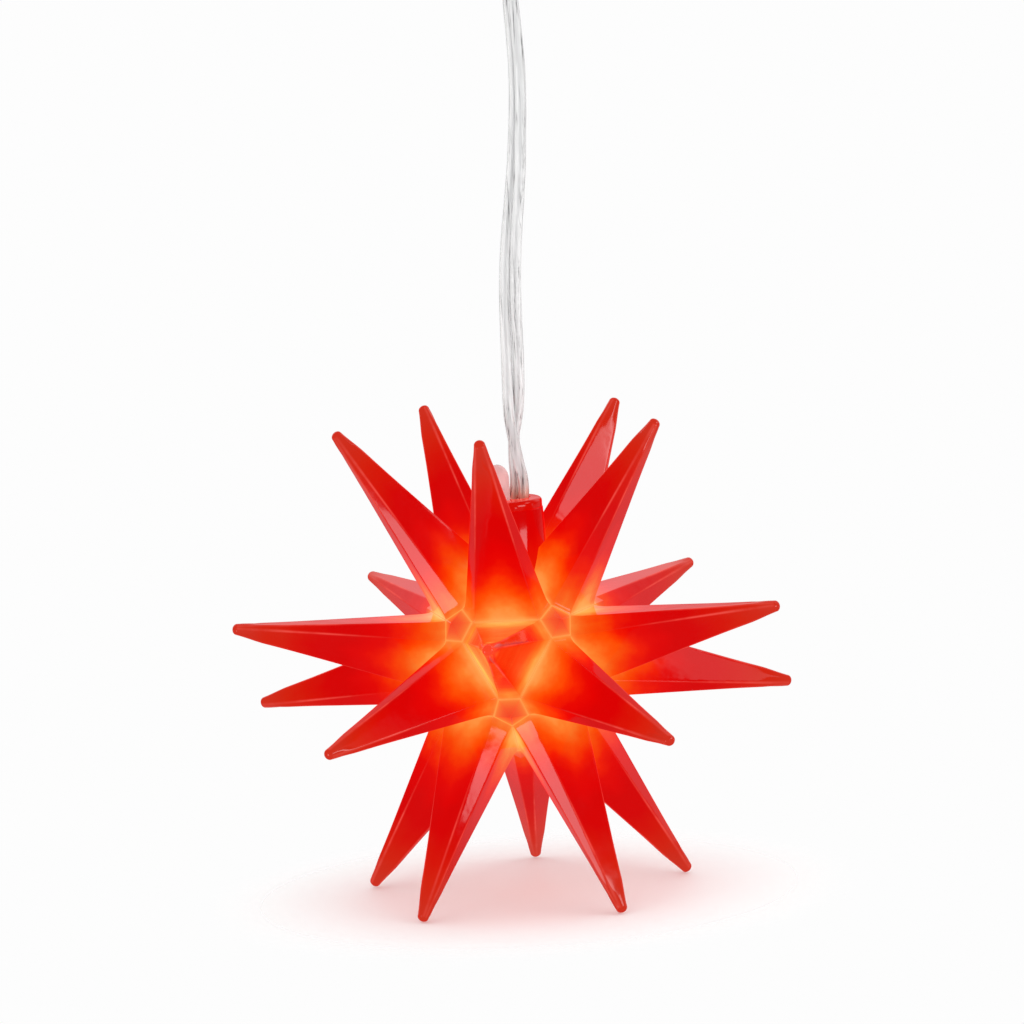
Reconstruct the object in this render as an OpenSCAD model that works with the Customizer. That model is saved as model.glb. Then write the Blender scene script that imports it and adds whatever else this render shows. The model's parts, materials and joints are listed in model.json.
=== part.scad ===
// Hanging LED star: twenty hollow spikes on a twenty-sided core, a neck with a push-in lamp,
// a twisted two-strand lead and a small coupling with a hanging eye. Millimetres, +Z up.
// The origin is the centre of the hanging eye; the star hangs star_drop below it.

/* [Star] */
// Reach of the side spikes from the star's centre
star_r = 60; // [54:1:70]
// How much further the top and bottom spikes reach
end_extra = 0.5; // [0:0.1:2]
// Radius of the round nose at each spike's tip
tip_r = 0.9; // [0.7:0.05:1.3]
// Radius of the core, from its centre to its corners
core_r = 21.8; // [21:0.1:23.5]
// Short side of a spike's six-sided foot
corner_side = 4.6; // [3.5:0.1:5.5]
// How far a spike's long sides rise inside the edges of its flange
foot_inset = 0.4; // [0.2:0.05:0.6]
// Wall of the moulded spikes
shell_wall = 1.1; // [0.9:0.1:1.4]
// Glued joint between neighbouring flanges
joint_gap = 0.06; // [0.02:0.01:0.1]

/* [Spike rings] */
// Lean of the top and bottom rings, in degrees from the upright
end_lean = 35.4; // [34.5:0.1:38]
// Lean of the two side rings, in degrees from the upright
side_lean = 79.5; // [78.5:0.1:80.5]
// Turn of the top ring about the upright, in degrees
top_twist = -2.6; // [-3:0.1:3]
// Turn of the bottom ring about the upright, in degrees
bottom_twist = 2; // [-3:0.1:3]

/* [Neck and cap] */
// Outer radius of the neck at its rim
neck_r = 7.5; // [7.3:0.05:8]
// How much wider the neck is at its foot
neck_flare = 0.65; // [0.3:0.05:0.9]
// Height of the neck's rim over the core's top corner
neck_rise = 9.2; // [8:0.1:10.5]
// How far the neck's foot stands out inside the core
neck_sink = 0.4; // [0.2:0.1:1]
// Wall of the neck at its rim
neck_wall = 1.25; // [1.1:0.05:1.4]
// Thickness of the cap's rim
cap_thick = 1.9; // [1.6:0.1:2.4]
// How far the cap's rim stays inside the neck's
cap_step = 0.12; // [0.05:0.01:0.3]
// Round edge on top of the cap
cap_edge = 0.8; // [0.4:0.1:1]
// Length of the cap's skirt inside the neck
skirt_len = 7; // [5.5:0.5:8]
// Wall of the cap's skirt
skirt_wall = 0.9; // [0.7:0.05:1]
// Height of the seal ring
seal_h = 1; // [0.8:0.1:1.4]
// Radial thickness of the seal ring
seal_t = 0.5; // [0.4:0.05:0.55]
// Push fit of the cap and the seal in the neck
fit_gap = 0.1; // [0.06:0.01:0.12]
// Clearance of fixed pieces in their seats
seat_gap = 0.05; // [0.03:0.01:0.08]

/* [Lamp] */
// Wall of the clear lamp holder
holder_wall = 0.75; // [0.6:0.05:0.8]
// Length of the holder's wide barrel under the cap
barrel_len = 9.9; // [9:0.1:10.5]
// Radius of the holder's stem
stem_r = 4.2; // [4.1:0.1:4.5]
// Height of the stem's end over the star's centre
stem_foot = 3.4; // [2:0.1:5]
// Thickness of the stem's floor, which carries the diode
stem_floor = 1.2; // [1:0.1:1.6]
// Thickness of the bridge in the barrel's mouth, which carries the pull tab
bridge_t = 1.2; // [1:0.1:1.6]
// Width of the pull tab
tab_w = 5.6; // [4.5:0.1:6]
// Thickness of the pull tab
tab_t = 1; // [0.8:0.1:1.2]
// Height of the pull tab over the cap
tab_h = 7.2; // [5:0.1:9]
// Turn of the pull tab about the upright, in degrees
tab_turn = -35; // [-45:1:-25]
// Clearance of the pull tab in the cap's slot
tab_gap = 0.15; // [0.1:0.01:0.2]
// Wall of the cap between the tab's slot and the lead's hole
slot_wall = 0.5; // [0.4:0.05:0.8]
// How far the pull tab's middle stands to the side of the lead's hole
tab_shift = 1.76; // [1:0.02:2.2]
// How far the bridge under the pull tab reaches in front of it
tab_root = 0.3; // [0.2:0.05:0.5]
// Radius of the light diode's body
led_r = 2.5; // [2:0.1:2.6]
// Length of the diode's body, without its round end
led_len = 5; // [4:0.1:6]
// How far the diode's flange stands out from its body
led_rim = 0.4; // [0.3:0.05:0.5]
// Thickness of the diode's flange
led_flange_t = 1; // [0.8:0.1:1.4]
// Radius of the frosted dome over the diode
dome_r = 5.6; // [5.2:0.1:5.8]
// Wall of the frosted dome
dome_wall = 0.8; // [0.6:0.1:0.9]
// Length of the dome's straight part
dome_len = 12; // [10:0.5:14]
// How far the dome reaches up round the stem
dome_grip = 5.6; // [5:0.1:6]
// Height of the collar that holds the dome on the stem
dome_collar = 2; // [1.5:0.1:3]
// Half the distance between the diode's legs
leg_x = 1.27; // [1.2:0.01:1.5]
// Radius of the diode's legs and the resistor's wires
leg_r = 0.28; // [0.22:0.02:0.34]
// Radius of the series resistor
resistor_r = 0.9; // [0.7:0.05:1]
// Length of the series resistor
resistor_len = 5; // [4:0.1:6]
// Height of the resistor over the diode
resistor_lift = 5; // [4:0.1:5.5]
// Length of the resistor's lower wire
wire_len = 1.5; // [1:0.1:2.5]
// Wall of the shrink sleeves
sleeve_wall = 0.25; // [0.2:0.01:0.3]
// Length of the shrink sleeves
sleeve_len = 5; // [4:0.1:6]
// How far the shrink sleeves reach up over the strands
sleeve_grip = 2; // [1.5:0.1:2.5]

/* [Lead] */
// Diameter of one strand
strand_d = 2.3; // [2:0.05:2.3]
// Clearance of the lead in the hole of the cap
lead_play = 0.4; // [0.3:0.05:0.6]

/* [Coupling] */
// Depth of the star's centre below the hanging eye
star_drop = 172; // [170:0.5:175]
// Radius of the coupling's body
body_r = 4.4; // [4.2:0.1:4.8]
// Depth of the body's foot below the eye
body_foot = 12; // [11:0.5:12.5]
// Radius of the eye's hole
eye_hole_r = 2; // [1.6:0.1:2.2]
// Wall round the eye's hole
eye_wall = 1.8; // [1.5:0.1:2]
// Thickness of the eye
eye_t = 3; // [2.4:0.1:4]
// How much lower the eye's web is where it meets the body
gusset = 4.2; // [2:0.1:6]
// Radius of the plug's nose
nose_r = 3.6; // [3.3:0.1:3.8]
// Length of the plug's nose over its shoulder
nose_len = 8.4; // [7:0.1:10]
// Wall of the plug's nose
nose_wall = 0.8; // [0.6:0.1:1]
// Radius of the shoulder that holds the nut
shoulder_r = 5.1; // [4.9:0.1:5.2]
// Thickness of the shoulder
shoulder_t = 1.2; // [1:0.1:1.6]
// Wall of the nut round its thread
nut_wall = 0.95; // [0.8:0.05:1.1]
// Thickness of the nut's inner collar
nut_collar = 1.2; // [1:0.1:1.6]
// Free height of the nut over the eye
nut_lift = 0.8; // [0.5:0.1:1.2]
// How far the nut reaches past the plug's nose
nut_over = 1.4; // [0.5:0.1:2]
// Running clearance of the nut round the body
nut_gap = 0.1; // [0.06:0.01:0.12]
// Number of grip ribs on the nut
nut_ribs = 18; // [12:1:24]
// How far the grip ribs stand out
rib_h = 0.35; // [0.2:0.05:0.5]
// Thickness of the coupling's seal
coupling_seal_t = 1; // [0.8:0.1:1.2]
// Radial width of the coupling's seal
coupling_seal_w = 0.9; // [0.6:0.05:1.1]
// Radius of the contact pins
pin_r = 0.5; // [0.4:0.05:0.6]
// Half the distance between the contact pins
pin_y = 1.3; // [1.2:0.05:1.5]
// How far the contact pins stay inside the nose
pin_inset = 1.5; // [1:0.1:3]
// Length of the strain relief boot
boot_len = 12; // [10:0.5:12]
// Radius of the boot where it meets the body
boot_r = 4; // [3.8:0.1:4.2]
// How much thinner the boot is at its lower end
boot_taper = 0.9; // [0.5:0.1:1]
// Number of the boot's bending grooves
boot_grooves = 3; // [2:1:4]
// Depth of the boot's bending grooves
boot_groove = 0.4; // [0.2:0.05:0.5]

/* [Hidden] */
RINGS = ["top", "upper", "lower", "bottom"];
SPIKES = [for (ring = [0:3], i = [0:4]) str("spike_", RINGS[ring], "_", i + 1)];

// Lead, from the lamp up to the coupling: x, y, z of its middle line, turn of the pair
// about that line in degrees, and half the distance between the two strands
ROUTE = [
    [0, 0, -151, 180, 1.7],
    [0, 0, -148.5, 180, 1.7],
    [0.2, 0.1, -146, 175, 1.4],
    [0.8, 0.3, -143.6, 168, 1.2],
    [1.7, 0.5, -141.4, 159, 1.2],
    [2.5, 0.7, -139.2, 148, 1.2],
    [2.8, 0.9, -137, 139, 1.2],
    [2.8, 0.9, -134.5, 129, 1.2],
    [2.5, 0.9, -132, 118, 1.2],
    [2.3, 0.9, -129, 104, 1.2],
    [2.2, 0.8, -126, 87, 1.2],
    [2.3, 0.7, -124, 70, 1.2],
    [2.4, 0.6, -122, 52, 1.2],
    [2.6, 0.5, -119, 33, 1.2],
    [2.8, 0.4, -115, 15, 1.2],
    [3, 0.2, -108, 1, 1.2],
    [3.1, 0, -102, -8, 1.2],
    [3.3, -0.2, -96, -16, 1.2],
    [3.9, -0.4, -88, -25, 1.2],
    [4.6, -0.5, -82, -31, 1.2],
    [5.4, -0.6, -76, -37, 1.2],
    [6.1, -0.7, -70, -44, 1.2],
    [6.6, -0.7, -64, -50, 1.2],
    [7.1, -0.7, -57, -54, 1.2],
    [7.3, -0.6, -50, -57, 1.2],
    [7.1, -0.5, -43, -59, 1.2],
    [6.8, -0.3, -37, -62, 1.2],
    [6.9, -0.1, -32, -70, 1.2],
    [7.5, 0, -28, -81, 1.2],
    [7.9, 0, -25.5, -89, 1.2],
    [8, 0, -23.5, -90, 1.2],
    [8, 0, -8, -90, 1.2]];
LEAD_FOOT = ROUTE[0];
LEAD_HEAD = ROUTE[len(ROUTE) - 1];
COUPLING_X = LEAD_HEAD[0];
LEAD_TOP = LEAD_HEAD[2];
STRAND_SIDES = 8;
NOSE_STEPS = 3;
ROUND = 64;
// Overlap of shapes that are joined, and how far a cut runs past a face
EPS = 0.01;
PAST = 1;

// Twenty-sided core: ring corners lean RING_TILT from the upright, and the middle of a face
// lies IN_RATIO times the corner radius from the core's centre
RING_TILT = acos(1 / sqrt(5));
IN_RATIO = sqrt((5 + 2 * sqrt(5)) / 15);
FACE_TILT = acos(IN_RATIO);
edge = core_r / sin(72);
face_in = edge / (2 * sqrt(3));
face_d = core_r * IN_RATIO;
inner_k = 1 - shell_wall / face_d;
cavity_k = 1 - shell_wall / face_in;

// Neck, cap and seal, with heights over the star's centre
neck_top = core_r + neck_rise;
neck_foot_r = neck_r + neck_flare;
neck_foot = (face_d - shell_wall - neck_foot_r * sin(FACE_TILT)) / cos(FACE_TILT) - neck_sink;
bore_r = neck_r - neck_wall;
cap_r = neck_r - cap_step;
cap_foot = neck_top + seat_gap;
cap_top = cap_foot + cap_thick;
skirt_r = bore_r - fit_gap;
skirt_in = skirt_r - skirt_wall;
seal_in = skirt_r + seat_gap;
seal_out = seal_in + seal_t;

// Lamp, with heights over the star's centre
lead_end = LEAD_FOOT[2] + star_drop;
barrel_r = skirt_in - seat_gap;
barrel_in = barrel_r - holder_wall;
barrel_top = cap_foot - seat_gap;
barrel_foot = barrel_top - barrel_len;
stem_in = stem_r - holder_wall;
led_seat = stem_foot + stem_floor;
led_base = led_seat + led_flange_t;
tab_top = cap_top + tab_h;
dome_top = stem_foot + dome_grip;
resistor_foot = led_base + resistor_lift;
strand_fit_r = strand_d / 2 + seat_gap;

// Where the lead passes through the cap, and the hole that it needs there
lead_hole_z = cap_foot + cap_thick / 2 - star_drop;
lead_hole_at = [for (axis = [0, 1]) lookup(lead_hole_z, [for (row = ROUTE) [row[2], row[axis]]])];
lead_hole_r = LEAD_HEAD[4] + strand_d / 2 + lead_play;

// The pull tab stands beside that hole
tab_away = lead_hole_r + slot_wall + tab_gap + tab_t / 2;
tab_at = lead_hole_at - tab_away * [-sin(tab_turn), cos(tab_turn)]
    - tab_shift * [cos(tab_turn), sin(tab_turn)];

// Coupling, with heights over the eye
eye_r = eye_hole_r + eye_wall;
nut_foot = eye_r + nut_lift;
shoulder_z = nut_foot + nut_collar + nut_gap;
shoulder_top = shoulder_z + shoulder_t;
nose_top = shoulder_top + nose_len;
pin_top = nose_top - pin_inset - pin_r;
thread_r = shoulder_r + 2 * nut_gap;
nut_r = thread_r + nut_wall;
nut_top = nose_top + nut_over;
boot_foot = body_foot + boot_len;

function lerp(a, b, t) = a + (b - a) * t;
function unit(v) = v / norm(v);
function polar(r, lean, turn) = r * [sin(lean) * cos(turn), sin(lean) * sin(turn), cos(lean)];
function upper_corner(i) = polar(core_r, RING_TILT, 306 + 72 * i);
function lower_corner(i) = polar(core_r, 180 - RING_TILT, 270 + 72 * i);

// The three core corners under spike i of a ring, counter-clockwise seen from outside
function face_corners(ring, i) =
    ring == 0 ? [[0, 0, core_r], upper_corner(i - 1), upper_corner(i)] :
    ring == 1 ? [upper_corner(i), upper_corner(i - 1), lower_corner(i)] :
    ring == 2 ? [lower_corner(i), lower_corner(i + 1), upper_corner(i)] :
    [lower_corner(i + 1), lower_corner(i), [0, 0, -core_r]];

// Centre of the round nose at spike i of a ring
function spike_tip(ring, i) =
    ring == 0 ? polar(star_r + end_extra - tip_r, end_lean, 270 + 72 * i + top_twist) :
    ring == 1 ? polar(star_r - tip_r, side_lean, 270 + 72 * i) :
    ring == 2 ? polar(star_r - tip_r, 180 - side_lean, 306 + 72 * i) :
    polar(star_r + end_extra - tip_r, 180 - end_lean, 306 + 72 * i + bottom_twist);

function middle(points) = [1, 1, 1] * points / 3;
function about(points, centre, k) = [for (p = points) lerp(centre, p, k)];

// A triangle with its three corners cut off, going round the same way
function foot_outline(tri) = [for (k = [0:2])
    each [lerp(tri[k], tri[(k + 2) % 3], corner_side / edge),
          lerp(tri[k], tri[(k + 1) % 3], corner_side / edge)]];

// A ring of the spike's six-sided section, k times the size of its foot
function section(foot, centre, at, k) = [for (p = foot) at + (p - centre) * k];

// One moulded spike: a flange that covers its face of the core, six flat sides that rise
// a little inside its edges to a round nose, and a pointed hollow that opens towards the core
module spike(ring, i) {
    whole = face_corners(ring, i);
    centre = middle(whole);
    flange = about(whole, centre, 1 - joint_gap / 2 / face_in);
    foot = foot_outline(flange);
    tip = spike_tip(ring, i);
    way = unit(tip - centre);
    rise = section(foot, centre, centre, 1 - foot_inset / face_in);
    nose = [for (step = [0:NOSE_STEPS - 1]) let (a = 90 * step / NOSE_STEPS)
        section(foot, centre, tip + way * tip_r * sin(a), tip_r * cos(a) / face_in)];
    points = concat(
        flange, foot, rise, [for (outline = nose) each outline], [tip + way * tip_r],
        flange * inner_k, section(foot, centre, centre * inner_k, cavity_k), [lerp(centre, tip, cavity_k)]);
    // Where each group of points starts in that list
    foot_at = 3;
    nose_at = foot_at + 12;
    tip_at = nose_at + 6 * NOSE_STEPS;
    inner_at = tip_at + 1;
    cavity_at = inner_at + 3;
    deep_at = cavity_at + 6;
    color([0.86, 0.05, 0.03, 0.9])
        difference() {
            polyhedron(points = points, convexity = 3, faces = concat(
                // Outer corners of the flange, its rim, the six sides with the nose, and the tip
                [for (k = [0:2]) [k, foot_at + 2 * k + 1, foot_at + 2 * k]],
                [for (step = [0:NOSE_STEPS], j = [0:5])
                    let (a = foot_at + 6 * step + j, b = foot_at + 6 * step + (j + 1) % 6)
                    [a, b, b + 6, a + 6]],
                [for (j = [0:5]) [tip_at - 6 + j, tip_at - 6 + (j + 1) % 6, tip_at]],
                // Edges of the flange
                [for (k = [0:2])
                    let (rim = [(k + 1) % 3, foot_at + (2 * k + 2) % 6, foot_at + 2 * k + 1, k])
                    each [[inner_at + k, inner_at + (k + 1) % 3, rim[0]],
                          for (j = [0:2]) [inner_at + k, rim[j], rim[j + 1]]]],
                // Inner face round the hollow, and the hollow
                [for (k = [0:2]) [inner_at + k, cavity_at + 2 * k, cavity_at + 2 * k + 1]],
                [for (k = [0:2])
                    [inner_at + k, cavity_at + 2 * k + 1, cavity_at + (2 * k + 2) % 6,
                     inner_at + (k + 1) % 3]],
                [for (j = [0:5]) [cavity_at + j, deep_at, cavity_at + (j + 1) % 6]]));
            if (ring == 0)
                neck_outside(seat_gap);
        }
}

// The neck's outer surface, grown by a gap and running on past both its ends
module neck_outside(gap) {
    slope = neck_flare / (neck_top - neck_foot);
    run = core_r / 3;
    translate([0, 0, neck_foot - run])
        cylinder(h = neck_top - neck_foot + 2 * run,
            r1 = neck_foot_r + gap + slope * run, r2 = neck_r + gap - slope * run, $fn = ROUND);
}

module neck_tube() {
    color([0.84, 0.04, 0.03, 0.9])
        difference() {
            translate([0, 0, neck_foot])
                cylinder(h = neck_top - neck_foot, r1 = neck_foot_r, r2 = neck_r, $fn = ROUND);
            translate([0, 0, neck_foot - PAST])
                cylinder(h = neck_top - neck_foot + 2 * PAST, r = bore_r, $fn = ROUND);
            translate([0, 0, neck_top - seal_h - seat_gap])
                cylinder(h = seal_h + PAST, r = seal_out + fit_gap, $fn = ROUND);
        }
}

// A flat ring that stands on z
module ring_at(z, h, r_in, r_out) {
    translate([0, 0, z])
        difference() {
            cylinder(h = h, r = r_out, $fn = ROUND);
            translate([0, 0, -PAST]) cylinder(h = h + 2 * PAST, r = r_in, $fn = ROUND);
        }
}

module seal_ring() {
    color([0.8, 0.8, 0.8]) ring_at(neck_top - seal_h, seal_h, seal_in, seal_out);
}

module socket_cap() {
    color([0.86, 0.05, 0.04, 0.92])
        difference() {
            union() {
                rotate_extrude($fn = ROUND) {
                    translate([0, cap_foot]) square([cap_r, cap_thick - cap_edge]);
                    translate([0, cap_foot]) square([cap_r - cap_edge, cap_thick]);
                    translate([cap_r - cap_edge, cap_top - cap_edge]) circle(r = cap_edge, $fn = 32);
                }
                translate([0, 0, cap_foot - skirt_len])
                    cylinder(h = skirt_len + EPS, r = skirt_r, $fn = ROUND);
            }
            translate([0, 0, cap_foot - skirt_len - PAST])
                cylinder(h = skirt_len + PAST, r = skirt_in, $fn = ROUND);
            translate([lead_hole_at[0], lead_hole_at[1], cap_foot - PAST])
                cylinder(h = cap_thick + 2 * PAST, r = lead_hole_r, $fn = 48);
            tab_block(tab_w + 2 * tab_gap, tab_t + 2 * tab_gap, cap_foot - PAST, cap_top + PAST);
        }
}

// Puts a shape at the pull tab, with X along its width and Y through its thickness
module at_tab(z) {
    translate([tab_at[0], tab_at[1], z]) rotate([0, 0, tab_turn]) children();
}

module tab_block(w, t, z0, z1) {
    at_tab(z0) translate([-w / 2, -t / 2, 0]) cube([w, t, z1 - z0]);
}

// The clear holder: barrel under the cap, stem down to the diode, and the pull tab
module lamp_holder() {
    color([0.93, 0.9, 0.9, 0.6])
        difference() {
            union() {
                translate([0, 0, barrel_foot])
                    cylinder(h = barrel_len, r = barrel_r, $fn = ROUND);
                translate([0, 0, stem_foot])
                    cylinder(h = barrel_foot - stem_foot + EPS, r = stem_r, $fn = ROUND);
                tab_block(tab_w, tab_t, barrel_top - bridge_t, tab_top - tab_w / 2);
                at_tab(tab_top - tab_w / 2)
                    rotate([90, 0, 0])
                        translate([0, 0, -tab_t / 2]) cylinder(h = tab_t, r = tab_w / 2, $fn = 48);
            }
            // The barrel's mouth, left closed by a bridge under the tab and behind it
            difference() {
                translate([0, 0, barrel_foot + bridge_t])
                    cylinder(h = barrel_len - bridge_t + EPS, r = barrel_in, $fn = ROUND);
                at_tab(barrel_top - bridge_t)
                    translate([-2 * barrel_r, -2 * barrel_r, 0])
                        cube([4 * barrel_r, 2 * barrel_r + tab_t / 2 + tab_root, bridge_t + PAST]);
            }
            translate([0, 0, led_seat])
                cylinder(h = barrel_foot - led_seat + bridge_t + EPS, r = stem_in, $fn = 48);
            translate([0, 0, stem_foot - PAST])
                cylinder(h = stem_floor + 2 * PAST, r = led_r + seat_gap, $fn = 48);
        }
}

module diffuser_dome() {
    color([0.97, 0.95, 0.9, 0.7])
        translate([0, 0, dome_top - dome_len])
            difference() {
                union() {
                    cylinder(h = dome_len, r = dome_r, $fn = ROUND);
                    sphere(r = dome_r, $fn = 48);
                }
                sphere(r = dome_r - dome_wall, $fn = 48);
                cylinder(h = dome_len - dome_collar, r = dome_r - dome_wall, $fn = ROUND);
                cylinder(h = dome_len + PAST, r = stem_r + seat_gap, $fn = ROUND);
            }
}

module led_lens() {
    color([1, 0.93, 0.75, 0.8]) {
        translate([0, 0, led_seat]) cylinder(h = led_flange_t, r = led_r + led_rim, $fn = 48);
        translate([0, 0, led_base - led_len])
            cylinder(h = led_len - led_flange_t + EPS, r = led_r, $fn = 48);
        translate([0, 0, led_base - led_len]) sphere(r = led_r, $fn = 32);
    }
}

// Two legs: the long one reaches its strand, the short one reaches the resistor's wire
module led_legs() {
    short_len = resistor_lift - wire_len;
    color("silver") {
        translate([-leg_x, 0, led_base]) cylinder(h = lead_end - led_base, r = leg_r, $fn = 16);
        translate([leg_x, 0, led_base]) cylinder(h = short_len, r = leg_r, $fn = 16);
    }
}

module series_resistor() {
    color([0.85, 0.75, 0.55])
        translate([leg_x, 0, resistor_foot]) {
            translate([0, 0, -wire_len])
                cylinder(h = lead_end - resistor_foot + wire_len, r = leg_r, $fn = 16);
            cylinder(h = resistor_len, r = resistor_r, $fn = 32);
        }
}

// Sleeves over the places where the two strands meet the legs
module shrink_sleeves() {
    color([0.12, 0.12, 0.12])
        for (side = [-1, 1])
            translate([side * LEAD_FOOT[4], 0, 0])
                ring_at(lead_end + sleeve_grip - sleeve_len, sleeve_len, strand_fit_r,
                    strand_fit_r + sleeve_wall);
}

function strand_point(row, side) =
    [row[0], row[1], row[2]] + side * row[4] * [cos(row[3]), sin(row[3]), 0];

// Direction of travel at point k; the two ends run straight up
function travel(line, k) =
    k == 0 || k == len(line) - 1 ? [0, 0, 1] : unit(line[k + 1] - line[k - 1]);

function strand_ring(centre, way) =
    let (across = unit([way[2], 0, -way[0]]), back = cross(way, across))
    [for (j = [0:STRAND_SIDES - 1]) let (a = 360 * j / STRAND_SIDES)
        centre + strand_d / 2 * (cos(a) * across + sin(a) * back)];

// One strand, swept along its own side of the route
module strand(side) {
    line = [for (row = ROUTE) strand_point(row, side)];
    last = (len(line) - 1) * STRAND_SIDES;
    color([0.92, 0.93, 0.94, 0.6])
        polyhedron(
            points = [for (k = [0:len(line) - 1]) each strand_ring(line[k], travel(line, k))],
            faces = concat(
                [[for (j = [0:STRAND_SIDES - 1]) j]],
                [[for (j = [STRAND_SIDES - 1:-1:0]) last + j]],
                [for (start = [0:STRAND_SIDES:last - 1], j = [0:STRAND_SIDES - 1])
                    let (a = start + j, b = start + (j + 1) % STRAND_SIDES)
                    each [[a, a + STRAND_SIDES, b + STRAND_SIDES], [a, b + STRAND_SIDES, b]]]),
            convexity = 6);
}

// The opening for two strands side by side along Y
module pair_slot(z0, z1) {
    half = LEAD_HEAD[4];
    translate([COUPLING_X, 0, z0])
        linear_extrude(height = z1 - z0) {
            for (side = [-1, 1])
                translate([0, side * half]) circle(r = strand_fit_r, $fn = 32);
            square([2 * strand_fit_r, 2 * half], center = true);
        }
}

module cable_boot() {
    pitch = boot_len / (boot_grooves + 1);
    color([0.93, 0.93, 0.93, 0.8])
        difference() {
            translate([COUPLING_X, 0, -boot_foot])
                cylinder(h = boot_len, r1 = boot_r - boot_taper, r2 = boot_r, $fn = 48);
            for (g = [1:boot_grooves])
                translate([COUPLING_X, 0, 0])
                    ring_at(g * pitch - boot_foot, pitch / 3,
                        boot_r - boot_taper * (1 - g / (boot_grooves + 1)) - boot_groove, boot_r + PAST);
            pair_slot(-boot_foot - PAST, -body_foot + PAST);
        }
}

module coupling_body() {
    web_x = COUPLING_X - body_r + PAST;
    color([0.94, 0.94, 0.93, 0.85])
        difference() {
            union() {
                translate([COUPLING_X, 0, -body_foot])
                    cylinder(h = shoulder_top + body_foot, r = body_r, $fn = ROUND);
                translate([COUPLING_X, 0, shoulder_z])
                    cylinder(h = shoulder_t, r = shoulder_r, $fn = ROUND);
                translate([COUPLING_X, 0, shoulder_top - EPS])
                    cylinder(h = nose_len + EPS, r = nose_r, $fn = ROUND);
                // Eye and the web that joins it to the body
                rotate([90, 0, 0])
                    translate([0, 0, -eye_t / 2])
                        linear_extrude(height = eye_t) {
                            circle(r = eye_r, $fn = ROUND);
                            polygon([[0, -eye_r], [web_x, -eye_r - gusset], [web_x, eye_r], [0, eye_r]]);
                        }
            }
            rotate([90, 0, 0])
                translate([0, 0, -eye_t]) cylinder(h = 2 * eye_t, r = eye_hole_r, $fn = 48);
            translate([COUPLING_X, 0, shoulder_top])
                cylinder(h = nose_len + PAST, r = nose_r - nose_wall, $fn = ROUND);
            pair_slot(-body_foot - PAST, LEAD_TOP);
            for (side = [-1, 1])
                translate([COUPLING_X, side * pin_y, LEAD_TOP - PAST])
                    cylinder(h = shoulder_top - LEAD_TOP + 2 * PAST, r = pin_r + seat_gap, $fn = 24);
        }
}

module contact_pins() {
    color("goldenrod")
        for (side = [-1, 1])
            translate([COUPLING_X, side * pin_y, LEAD_TOP]) {
                cylinder(h = pin_top - LEAD_TOP, r = pin_r, $fn = 24);
                translate([0, 0, pin_top - LEAD_TOP]) sphere(r = pin_r, $fn = 24);
            }
}

module coupling_seal() {
    inside = nose_r + seat_gap;
    color([0.75, 0.76, 0.78])
        translate([COUPLING_X, 0, 0])
            ring_at(shoulder_top, coupling_seal_t, inside, inside + coupling_seal_w);
}

module coupling_nut() {
    nut_h = nut_top - nut_foot;
    color([0.94, 0.94, 0.94])
        translate([COUPLING_X, 0, nut_foot])
            difference() {
                union() {
                    cylinder(h = nut_h, r = nut_r, $fn = ROUND);
                    for (i = [0:nut_ribs - 1])
                        rotate([0, 0, 360 * i / nut_ribs])
                            translate([nut_r - rib_h, 0, PAST])
                                cylinder(h = nut_h - 2 * PAST, r = 2 * rib_h, $fn = 16);
                }
                translate([0, 0, -PAST])
                    cylinder(h = nut_collar + 2 * PAST, r = body_r + nut_gap, $fn = ROUND);
                translate([0, 0, nut_collar]) cylinder(h = nut_h, r = thread_r, $fn = ROUND);
            }
}

// What belongs to the star is drawn about its centre and hung below the eye
module hung() {
    translate([0, 0, -star_drop]) children();
}

for (ring = [0:3], i = [0:4])
    hung() spike(ring, i);
hung() neck_tube();
hung() socket_cap();
hung() seal_ring();
hung() lamp_holder();
hung() diffuser_dome();
hung() led_lens();
hung() led_legs();
hung() series_resistor();
hung() shrink_sleeves();
strand(1);  // lead_a
strand(-1);  // lead_b
cable_boot();
coupling_body();
contact_pins();
coupling_seal();
coupling_nut();
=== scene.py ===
import json
import math

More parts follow.
